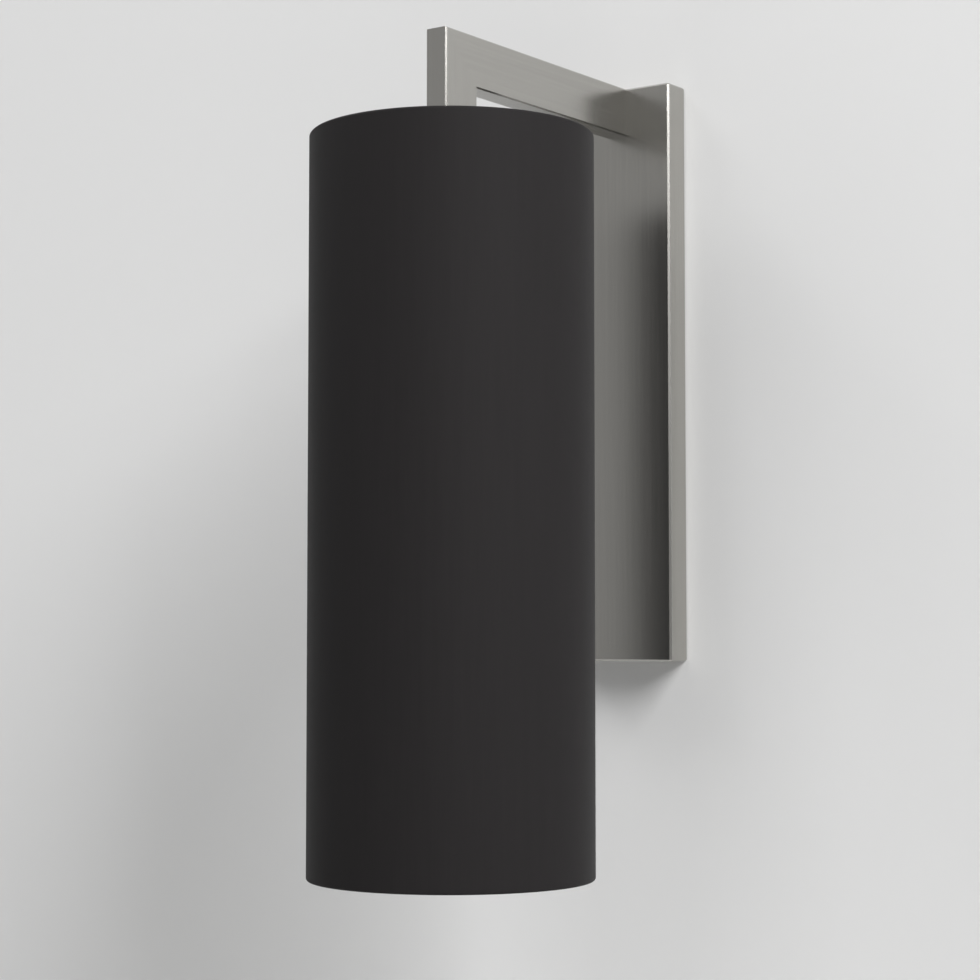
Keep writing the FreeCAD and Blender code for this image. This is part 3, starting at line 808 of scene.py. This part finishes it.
@dataclass
class Shade:
    """Cloth tube on a stiff liner, held by a spoked wire frame and a lower hoop."""

    cloth_colour: Colour = (0.0148, 0.0134, 0.0138)
    radius: float = 67.5 * MM
    top: float = 100.0 * MM
    bottom: float = -250.0 * MM
    sides: int = 192
    cloth: float = 0.4 * MM
    fold: float = 1.3 * MM
    hem: float = 7.0 * MM
    hem_inner: float = 62.25 * MM
    lap: float = 11.0 * MM
    lap_half_turn: float = 4.7
    lap_rise: float = 0.35 * MM
    snip_size: Place = (3.6 * MM, 1.6 * MM, 8.4 * MM)
    liner_outer: float = 66.95 * MM
    liner_inner: float = 66.15 * MM
    liner_inset: float = 0.55 * MM
    liner_end: float = 2.0 * MM
    liner_half_turn: float = 6.5
    liner_rise: float = 0.3 * MM
    hoop_radius: float = 64.6 * MM
    hoop_inset: float = 1.95 * MM
    wire: float = 1.4 * MM
    weld_reach: float = 4.0 * MM
    weld_swell: float = 0.09
    spoke_turns: Place = (0, 120, 240)
    spoke: float = 1.3 * MM
    spoke_start: float = 26.5 * MM
    spoke_level: float = 34.9 * MM
    spoke_run: float = 7.0 * MM
    spoke_bend: float = 8.0 * MM
    washer_radii: Step = (21.0 * MM, 30.0 * MM)
    washer_span: Step = (32.0 * MM, 34.0 * MM)
    washer_edge: float = 0.35 * MM

    def rim(self, level: float, up: int) -> list[Step]:
        """Section of the cloth at one rim, from the outside round the fold to the inside.

        Args:
            level: The rim's height.
            up: 1 at the top, -1 at the bottom.

        Returns:
            Radius and height of each ring.
        """
        outer = self.radius - self.fold, -self.fold
        inner = self.hem_inner + self.fold, -self.fold
        under = self.fold - self.cloth
        section = [
            *rounded(outer, self.fold, 0, 90, 6), *rounded(inner, self.fold, 90, 180, 6),
            (self.hem_inner, -self.hem), (self.hem_inner + self.cloth, -self.hem),
            *rounded(inner, under, 180, 90), *rounded(outer, under, 90, 0),
        ]
        return [(radius, level + up * height) for radius, height in section]

    def lapped(self, tube: Piece, walls: Step, levels: Step, half_turn: float,
               spread: float) -> None:
        """Thickens the wall of a tube along its join at the back.

        Args:
            tube: The cloth or the liner.
            walls: Between which radii the wall's faces lie.
            levels: Between which heights they lie.
            half_turn: Half the join's width, in degrees.
            spread: How far the wall is drawn out or in there, as a scale.
        """
        half = math.radians(half_turn)

        def in_lap(p: Vector) -> bool:
            """Whether a face of the wall belongs to the join."""
            near = abs(math.atan2(p.x, p.y - LAMP_Y)) < half and levels[0] < p.z < levels[1]
            return near and walls[0] < math.hypot(p.x, p.y - LAMP_Y) < walls[1]

        pick(tube)
        bpy.ops.object.mode_set(mode="EDIT")
        choose(in_lap, faces=True)
        extrude((0, 0, 0), spread, CENTRE)
        bpy.ops.object.mode_set(mode="OBJECT")

    def fabric(self) -> Piece:
        """Makes the cloth, turned in over both hoops, lapped at the back and snipped.

        Returns:
            The piece.
        """
        top, low = self.rim(self.top, 1), self.rim(self.bottom, -1)
        steps = [*top, *reversed(low), top[0]]
        cloth = turned("shade_cloth", steps, self.sides)
        self.lapped(cloth, (self.radius - NEAR_WALL, math.inf), (self.bottom, self.top),
                    self.lap_half_turn, (self.radius + self.lap_rise) / self.radius)
        for turn in self.spoke_turns:
            self.snip(cloth, turn)
        self.lay_out(cloth)
        dyed = ShadeCloth("black_shade_cloth", self.cloth_colour)
        handed_over(cloth, dyed, "shade", ["shade_fabric"])
        return cloth

    def snip(self, cloth: Piece, turn: float) -> None:
        """Cuts the hem open round one spoke.

        Args:
            cloth: The cloth.
            turn: The spoke's turn from the front, in degrees.
        """
        clear()
        middle = (0, LAMP_Y - self.hem_inner - self.cloth / 2, self.top - self.hem)
        bpy.ops.mesh.primitive_cube_add(size=1.0, location=middle)
        bpy.context.object.scale = self.snip_size
        knife = settled()
        knife.data.transform(turn_about_lamp(turn))
        pick(cloth)
        modifier = cloth.modifiers.new("Snip", "BOOLEAN")
        modifier.operation, modifier.solver, modifier.object = "DIFFERENCE", "EXACT", knife
        bpy.ops.object.modifier_apply(modifier=modifier.name)
        bpy.data.objects.remove(knife)

    def lay_out(self, cloth: Piece) -> None:
        """Maps the cloth in metres, round the shade and up it, with the map's join at the back.

        Args:
            cloth: The cloth.
        """
        mesh = cloth.data
        while mesh.uv_layers:
            mesh.uv_layers.remove(mesh.uv_layers[0])
        chart = mesh.uv_layers.new(name="cloth")
        for face in mesh.polygons:
            home = math.atan2(face.center.x, -(face.center.y - LAMP_Y))
            for loop in face.loop_indices:
                p = mesh.vertices[mesh.loops[loop].vertex_index].co
                turn = math.atan2(p.x, -(p.y - LAMP_Y))
                turn = home + (turn - home + math.pi) % (2 * math.pi) - math.pi
                inside = math.hypot(p.x, p.y - LAMP_Y) - self.radius
                chart.data[loop].uv = (turn * self.radius, p.z + inside)

    def liner(self) -> Piece:
        """Makes the stiff white tube with its lapped join.

        Returns:
            The piece.
        """
        low, high = self.bottom + self.liner_inset, self.top - self.liner_inset
        inner, outer = self.liner_inner, self.liner_outer
        ends = low + self.liner_end, high - self.liner_end
        steps = [
            (outer, low), (outer, high), (inner, high), (inner, ends[1]), (inner, ends[0]),
            (inner, low), (outer, low),
        ]
        tube = turned("liner_tube", steps, self.sides)
        self.lapped(tube, (0.0, inner + NEAR_WALL), ends, self.liner_half_turn,
                    (inner - self.liner_rise) / inner)
        white = Moulded("white_liner", (0.78, 0.77, 0.74), 0.42, 0.08, 1800.0)
        return handed_over(tube, white, "shade", ["shade_liner"])

    def hoop(self, level: float) -> Piece:
        """Makes a round wire hoop with the swelling of its butt weld at the back.

        Args:
            level: Height of its middle.

        Returns:
            The hoop.
        """
        clear()
        bpy.ops.mesh.primitive_torus_add(
            location=(0, LAMP_Y, level), major_radius=self.hoop_radius,
            minor_radius=self.wire, major_segments=180, minor_segments=16)
        hoop = settled()
        for vertex in hoop.data.vertices:
            x, away = vertex.co.x, abs(vertex.co.x) / self.weld_reach
            if vertex.co.y > LAMP_Y and away < 1:
                back = LAMP_Y + math.sqrt(self.hoop_radius**2 - x**2)
                swell = self.weld_swell * (0.5 + 0.5 * math.cos(math.pi * away))
                centre = Vector((x, back, level))
                vertex.co = centre + (vertex.co - centre) * (1 + swell)
        return hoop

    def spoke_bar(self) -> Piece:
        """Makes one spoke's wire: level on the washer, bent up, and out to the hoop.

        Returns:
            The wire.
        """
        clear()
        rise = self.top - self.hoop_inset - self.spoke_level
        run = self.hoop_radius - self.spoke_start - self.spoke_run
        slope = math.atan2(rise, run)
        taken = self.spoke_bend * math.tan(slope / 2)
        start = LAMP_Y - self.spoke_start
        bpy.ops.mesh.primitive_circle_add(
            vertices=16, radius=self.spoke, fill_type="NGON", enter_editmode=True,
            location=(0, start, self.spoke_level), rotation=(math.radians(90), 0, 0))
        straight = self.spoke_run - taken
        extrude((0, -straight, 0))
        middle = (0, start - straight, self.spoke_level + self.spoke_bend)
        bpy.ops.mesh.spin(steps=8, angle=slope, center=middle, axis=(1, 0, 0))
        length = math.hypot(rise, run) - taken
        extrude((0, -length * math.cos(slope), length * math.sin(slope)))
        bpy.ops.mesh.select_all(action="SELECT")
        bpy.ops.mesh.remove_doubles(threshold=CLOSE)
        bpy.ops.mesh.normals_make_consistent(inside=False)
        return settled()

    def top_frame(self) -> Piece:
        """Makes the hoop, the three spokes and the washer they are welded to.

        Returns:
            The piece.
        """
        (hole, edge), (low, high), e = self.washer_radii, self.washer_span, self.washer_edge
        steps = [
            (hole, low + e), (hole + e, low), (edge - e, low), (edge, low + e), (edge, high - e),
            (edge - e, high), (hole + e, high), (hole, high - e), (hole, low + e),
        ]
        washer = turned("washer", steps)
        level = self.top - self.hoop_inset
        welds = (
            (LAMP_Y - self.hoop_radius + 0.5 * MM, level - 0.9 * MM, 1.75 * MM),
            (LAMP_Y - self.spoke_start - 1.2 * MM, high + 0.3 * MM, 1.6 * MM),
        )
        parts = [self.spoke_bar()]
        for y, z, size in welds:
            clear()
            bpy.ops.mesh.primitive_ico_sphere_add(subdivisions=3, radius=size, location=(0, y, z))
            bpy.context.object.scale = (1.0, 1.0, 0.7)
            parts.append(settled())
        spoke = merged("spoke", *parts)
        others = [copied(spoke, turn_about_lamp(turn)) for turn in self.spoke_turns[1:]]
        whole = merged("wire_top_frame", washer, self.hoop(level), spoke, *others)
        return handed_over(whole, POWDER_COAT, "shade", ["shade_top_frame"])

    def bottom_hoop(self) -> Piece:
        """Makes the lower hoop.

        Returns:
            The piece.
        """
        hoop = self.hoop(self.bottom + self.hoop_inset)
        hoop.name = hoop.data.name = "wire_bottom_hoop"
        return handed_over(hoop, POWDER_COAT, "shade", ["shade_bottom_hoop"])


@dataclass
class Lampholder:
    """Cap, threaded body, clamping ring and locknut."""

    cap_top: float = 67.0 * MM
    cap_radius: float = 22.0 * MM
    cap_shoulder: float = 8.0 * MM
    cap_round: float = 5.0 * MM
    neck: float = 8.5 * MM
    hole: float = 4.05 * MM
    ribs: int = 40
    rib_depth: float = 0.55 * MM
    flange_top: float = 37.0 * MM
    flange_low: float = 34.0 * MM
    flange: float = 25.0 * MM
    barrel: float = 19.75 * MM
    barrel_low: float = 16.0 * MM
    skirt: float = 18.0 * MM
    skirt_low: float = -1.0 * MM
    bore: float = 14.13 * MM
    seat: float = 31.0 * MM
    pocket: float = 17.1 * MM
    pitch: float = 2.5 * MM
    thread_depth: float = 0.9 * MM
    thread_sharp: float = 1.6
    ring_bore: float = 20.05 * MM
    ring_collar: float = 23.5 * MM
    ring_rim: float = 28.0 * MM
    ring_thick: float = 2.0 * MM
    ring_span: Step = (22.0 * MM, 32.0 * MM)
    notches: int = 12
    notch_depth: float = 1.2 * MM
    notch_share: float = 0.19
    nut_height: float = 5.0 * MM
    nut_flats: float = 6.5 * MM
    brass_nodes: tuple[str, ...] = ("holder_terminals", "centre_contact", "side_contact")

    def cap(self) -> Piece:
        """Makes the rounded cap with its grip ribs and neck.

        Returns:
            The piece.
        """
        top, r, n, f, hole = self.cap_top, self.cap_radius, self.neck, self.cap_round, self.hole
        low, shoulder = self.flange_top, top - self.cap_shoulder
        rib_low, rib_high = low + 2.5 * MM, low + 13.5 * MM
        steps = [
            (hole, top - 0.3 * MM), (hole + 0.3 * MM, top), (n - 0.6 * MM, top),
            (n, top - 0.6 * MM), (n, shoulder + 1.5 * MM),
            *rounded((n + 1.5 * MM, shoulder + 1.5 * MM), 1.5 * MM, 180, 270, 4)[1:],
            *rounded((r - f, shoulder - f), f, 90, 0, 8),
            (r, rib_high), (r, rib_high - 0.5 * MM), (r, rib_low + 0.5 * MM), (r, rib_low),
            (r, low + 0.4 * MM), (r - 0.4 * MM, low), (r - 2 * MM, low),
            (r - 2 * MM, shoulder - f), (r - 6 * MM, shoulder - 2 * MM),
            (hole, shoulder - 2 * MM), (hole, top - 0.3 * MM),
        ]
        cap = turned("lampholder_cap", steps, 240)

        def grip(radius: float, z: float, turn: float) -> Step:
            """Presses grooves between the ribs."""
            wall = abs(radius - r) < CLOSE and rib_low + 0.2 * MM < z < rib_high - 0.2 * MM
            return radius - self.rib_depth * (wall and math.cos(turn * self.ribs) > 0.1), z

        reshape(cap, grip)
        return handed_over(cap, BLACK_PLASTIC, "lamp_body", ["holder_cap"])

    def body(self) -> Piece:
        """Makes the flange, the threaded barrel and the stepped skirt.

        Returns:
            The piece.
        """
        e, top, flange_low, low = 0.4 * MM, self.flange_top, self.flange_low, self.barrel_low
        flange, skirt, end, bore = self.flange, self.skirt, self.skirt_low, self.bore
        steps = [
            (self.pocket, top), (flange - e, top), (flange, top - e), (flange, flange_low + e),
            (flange - e, flange_low), (self.barrel, flange_low),
            *wall_rings(self.barrel, flange_low - 0.3 * MM, low + e, RING_SPACING),
            (self.barrel - e, low), (skirt, low), (skirt, end + 6 * MM),
            (skirt - 0.5 * MM, end + 5.5 * MM), (skirt - 0.5 * MM, end + 0.8 * MM),
            (skirt - 1.3 * MM, end), (bore + 0.7 * MM, end), (bore, end + 0.7 * MM),
            (bore, self.seat), (self.pocket, self.seat), (self.pocket, top),
        ]
        body = turned("lampholder_body", steps, 120)
        ends = low + 0.6 * MM, flange_low - 0.4 * MM
        thread = Thread(self.pitch, self.thread_depth, *ends, self.barrel, self.thread_sharp)
        reshape(body, thread)
        return handed_over(body, BLACK_PLASTIC, "lamp_body", ["holder_body"])

    def clamp_ring(self) -> Piece:
        """Makes the threaded ring with its notched rim.

        Returns:
            The piece.
        """
        bore, collar, rim = self.ring_bore, self.ring_collar, self.ring_rim
        e, (low, high) = 0.35 * MM, self.ring_span
        step = high - self.ring_thick
        steps = [
            (bore, high - 0.1 * MM), (bore + e, high), (rim - e, high), (rim, high - e),
            (rim, step + e), (rim - e, step), (collar + 0.6 * MM, step),
            (collar, step - 0.6 * MM), (collar, low + e), (collar - e, low), (bore + e, low),
            (bore, low + e),
            *wall_rings(bore, low + e + 0.1 * MM, high - 0.3 * MM, RING_SPACING),
            (bore, high - 0.1 * MM),
        ]
        ring = turned("clamp_ring", steps, 144)
        per_turn = self.notches / (2 * math.pi)

        def notched(radius: float, z: float, turn: float) -> Step:
            """Presses the notches into the rim."""
            wall, across = radius > rim - 2 * e and z > step - CLOSE, turn * per_turn % 1.0 - 0.5
            return radius - self.notch_depth * (wall and abs(across) < self.notch_share), z

        reshape(ring, notched)
        ends = low + e, high - 0.2 * MM
        thread = Thread(self.pitch, self.thread_depth, *ends, bore, self.thread_sharp, False)
        reshape(ring, thread)
        return handed_over(ring, BLACK_PLASTIC, "shade_ring", ["shade_ring"])

    def locknut(self) -> Piece:
        """Makes the thin hexagon nut with turned corners.

        Returns:
            The piece.
        """
        low, flats, hole = self.cap_top, self.nut_flats, self.hole
        high = low + self.nut_height
        corner = flats / math.cos(math.pi / 6)
        steps = [
            (hole, low + 0.4 * MM), (hole + 0.4 * MM, low), (flats - 0.1 * MM, low),
            (corner, low + 0.9 * MM), (corner, high - 0.9 * MM), (flats - 0.1 * MM, high),
            (hole + 0.4 * MM, high), (hole, high - 0.4 * MM), (hole, low + 0.4 * MM),
        ]
        nut = turned("nipple_locknut", steps, 72)
        reshape(nut, lambda radius, z, turn: (min(radius, hexagon(flats, turn)), z))
        return handed_over(nut, ZINC, "lamp_body", ["locknut"])

    def finishes(self) -> dict[str, Finish]:
        """Lists the CAD nodes that stay, with their finishes."""
        beige = Moulded("beige_insulator", (0.62, 0.53, 0.41), 0.6, 0.25)
        return {"holder_insulator": beige, **dict.fromkeys(self.brass_nodes, BRASS)}


@dataclass
class Bulb:
    """Tubular bulb with a screw cap."""

    cap_radius: float = 13.1 * MM
    cap_low: float = 1.0 * MM
    cap_high: float = 23.0 * MM
    pitch: float = 3.6 * MM
    thread_depth: float = 1.0 * MM
    neck: float = 13.5 * MM
    plug: float = 11.2 * MM
    radius: float = 18.5 * MM
    joint: float = -21.0 * MM
    end: float = -83.0 * MM
    end_round: float = 9.0 * MM

    def screw_cap(self) -> Piece:
        """Makes the rolled metal cap with its round thread.

        Returns:
            The piece.
        """
        r, low, high = self.cap_radius, self.cap_low, self.cap_high
        steps = [
            (0.0, high), (8.0 * MM, high),
            *rounded((9.6 * MM, high - 3.2 * MM), 3.2 * MM, 90, 25),
            *wall_rings(r, high - 4.2 * MM, low + 1.2 * MM, RING_SPACING), (r, low),
            (r - 0.5 * MM, low), (r - 0.5 * MM, low + 1.2 * MM), (r - 1.6 * MM, low + 2.4 * MM),
            (r - 1.6 * MM, high - 4.5 * MM), (0.0, high - 1.0 * MM),
        ]
        cap = turned("rolled_screw_cap", steps)
        ends = low + 1.4 * MM, high - 4.2 * MM
        reshape(cap, Thread(self.pitch, self.thread_depth, *ends, r))
        bright = PlatedMetal("bright_rolled_cap", (0.80, 0.80, 0.79), 0.22, spread=0.04)
        return handed_over(cap, bright, "bulb", ["bulb_screw_cap"])

    def housing(self) -> Piece:
        """Makes the smooth moulded flare with its fine parting groove.

        Returns:
            The piece.
        """
        n, r, low, inner = self.neck, self.radius, self.joint, self.plug
        shares = [(i / 10, 0.5 - 0.5 * math.cos(math.pi * i / 10)) for i in range(11)]
        flare = [(n + (r - n) * out, (-2.0 - 8.0 * down) * MM) for down, out in shares]
        steps = [
            (0.0, 10.0 * MM), (inner, 10.0 * MM), (inner, 1.0 * MM), (n - 0.4 * MM, 1.0 * MM),
            (n, 0.6 * MM), *flare, (r, low + 1.2 * MM), (r - 0.35 * MM, low + 0.9 * MM),
            (r - 0.35 * MM, low + 0.3 * MM), (r - 0.35 * MM, low), (0.0, low),
        ]
        base = turned("bulb_base", steps)
        white = Moulded("white_bulb_plastic", (0.82, 0.82, 0.80), 0.35, 0.08)
        return handed_over(base, white, "bulb", ["bulb_housing"])

    def globe(self) -> Piece:
        """Makes the opal tube with its softly rounded end.

        Returns:
            The piece.
        """
        r, low, high, f = self.radius - 0.1 * MM, self.end, self.joint, self.end_round
        steps = [
            (0.0, high), (r - 0.4 * MM, high), (r, high - 0.4 * MM),
            *wall_rings(r, high - 1 * MM, low + f, 8 * MM),
            *rounded((r - f, low + f), f, 0, -78, 9)[1:], (r * 0.3, low + 0.03 * MM), (0.0, low),
        ]
        globe = turned("opal_tube", steps)
        opal = Moulded("opal_diffuser", (0.86, 0.86, 0.84), 0.3, 0.05, 900.0, see_through=0.35)
        return handed_over(globe, opal, "bulb", ["bulb_globe"], 60.0)

    def finishes(self) -> dict[str, Finish]:
        """Gives the tip's insulator its finish; the tip's contact keeps the frame's."""
        glass = Moulded("black_cap_glass", (0.02, 0.02, 0.022), 0.2, 0.05, coat=0.4)
        return {"bulb_tip_insulator": glass}


# Studio


@dataclass(frozen=True)
class SoftBox:
    """An area lamp that faces the light, at degrees right of straight out and above level."""

    name: str
    azimuth: float
    height: float
    distance: float
    size: Step
    power: float
    aim: Place = (0.0, -0.08, -0.05)

    def place(self) -> None:
        """Adds the lamp, out of the camera's sight."""
        box = bpy.data.lights.new(self.name, "AREA")
        box.shape = "RECTANGLE"
        box.size, box.size_y = self.size
        box.energy = self.power
        lamp = bpy.data.objects.new(self.name, box)
        a, h = math.radians(self.azimuth), math.radians(self.height)
        way = Vector((math.sin(a) * math.cos(h), -math.cos(a) * math.cos(h), math.sin(h)))
        lamp.location = Vector(self.aim) + way * self.distance
        lamp.rotation_euler = way.to_track_quat("Z", "Y").to_euler()
        lamp.visible_camera = False
        bpy.context.scene.collection.objects.link(lamp)


@dataclass
class Studio:
    """Wall, floor, camera and lamps."""

    wall_colour: Colour = (0.80, 0.80, 0.80)
    floor_colour: Colour = (0.62, 0.62, 0.61)
    floor_level: float = -1.5
    floor_size: Step = (7.2, 4.0)
    gap: float = 0.6 * MM
    opening: Step = (62 * MM, 298 * MM)
    reach: float = 7.2
    eye: Place = (0.654246, -1.042211, -0.134871)
    tilt: float = 3.479
    azimuth: float = 35.641
    lens: float = 85.757
    sensor: float = 36.0
    world: Colour = (0.20, 0.20, 0.20)
    lamps: tuple[SoftBox, ...] = (
        SoftBox("key", 64.5, 36.0, 4.5, (1.6, 2.4), 232.0),
        SoftBox("side_fill", -73.0, 54.0, 3.6, (1.2, 1.2), 40.0),
        SoftBox("front_fill", -2.0, 26.0, 3.2, (1.6, 1.6), 12.0),
        SoftBox("left_card", -44.0, 8.0, 3.2, (2.6, 2.2), 4.0),
        SoftBox("back_light", 155.0, 20.0, 2.0, (1.0, 1.0), 26.0),
    )

    def plane(self, name: str, size: Step, location: Place) -> Piece:
        """Adds a level plane.

        Args:
            name: Its name.
            size: Its sides.
            location: Its middle.

        Returns:
            The plane.
        """
        clear()
        bpy.ops.mesh.primitive_plane_add(size=1.0, location=location)
        plane = bpy.context.object
        plane.name = name
        plane.scale = (*size, 1.0)
        return settled()

    def room(self) -> None:
        """Makes the floor, and the wall, which is open where the fitting's back can be seen."""
        wide, high = self.opening
        wall = self.plane("backdrop_wall", self.opening, (0, 0, 0))
        bpy.ops.object.mode_set(mode="EDIT")
        bpy.ops.mesh.extrude_region_move()
        bpy.ops.transform.resize(value=(self.reach / wide, self.reach / high, 1.0),
                                 center_override=(0, 0, 0))
        choose(lambda p: math.hypot(p.x, p.y) < wide / 4, faces=True)
        bpy.ops.mesh.delete(type="FACE")
        bpy.ops.mesh.select_all(action="SELECT")
        bpy.ops.mesh.flip_normals()
        bpy.ops.object.mode_set(mode="OBJECT")
        upright = Matrix.Rotation(math.radians(90), 4, "X")
        wall.data.transform(Matrix.Translation((0, self.gap, 0)) @ upright)
        wall.data.materials.append(RoomSurface("pale_wall_paint", self.wall_colour).material())
        middle = (0, -self.floor_size[1] / 2, self.floor_level)
        floor = self.plane("pale_floor", self.floor_size, middle)
        floor.data.materials.append(RoomSurface("pale_floor_paint", self.floor_colour).material())

    def camera(self) -> None:
        """Sets up the photograph's view."""
        lens = bpy.data.cameras.new("photo_view")
        lens.lens, lens.sensor_width = self.lens, self.sensor
        eye = bpy.data.objects.new("photo_view", lens)
        eye.location = self.eye
        eye.rotation_euler = (math.radians(90 + self.tilt), 0, math.radians(self.azimuth))
        bpy.context.scene.collection.objects.link(eye)
        bpy.context.scene.camera = eye

    def light(self) -> None:
        """Adds the lamps and an even surround."""
        for lamp in self.lamps:
            lamp.place()
        surround = bpy.data.worlds.new("even_surround")
        surround.use_nodes = True
        background = surround.node_tree.nodes["Background"]
        background.inputs["Color"].default_value = (*self.world, 1.0)
        bpy.context.scene.world = surround
        bpy.context.scene.view_settings.view_transform = "Standard"


def dress(finishes: dict[str, Finish]) -> None:
    """Gives CAD nodes their materials.

    Args:
        finishes: A finish for each node's name.
    """
    for name, finish in finishes.items():
        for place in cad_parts[name].material_slots:
            place.material = finish.material()


def main() -> None:
    """Builds the light around its frame, then the studio."""
    wall_side, shade, holder, bulb, studio = WallSide(), Shade(), Lampholder(), Bulb(), Studio()
    for part in (wall_side, holder, bulb):
        dress(part.finishes())
        log.info("%s: CAD nodes dressed", type(part).__name__)
    makers = (
        wall_side.grommet, wall_side.grub_screws,
        shade.liner, shade.fabric, shade.top_frame, shade.bottom_hoop,
        holder.cap, holder.body, holder.clamp_ring, holder.locknut,
        bulb.screw_cap, bulb.housing, bulb.globe,
    )
    for make in makers:
        piece = make()
        log.info("%s: %d faces", piece.name, len(piece.data.polygons))
    studio.room()
    studio.camera()
    studio.light()


if __name__ == "__main__":
    logging.basicConfig(level=logging.INFO, format="%(message)s")
    main()
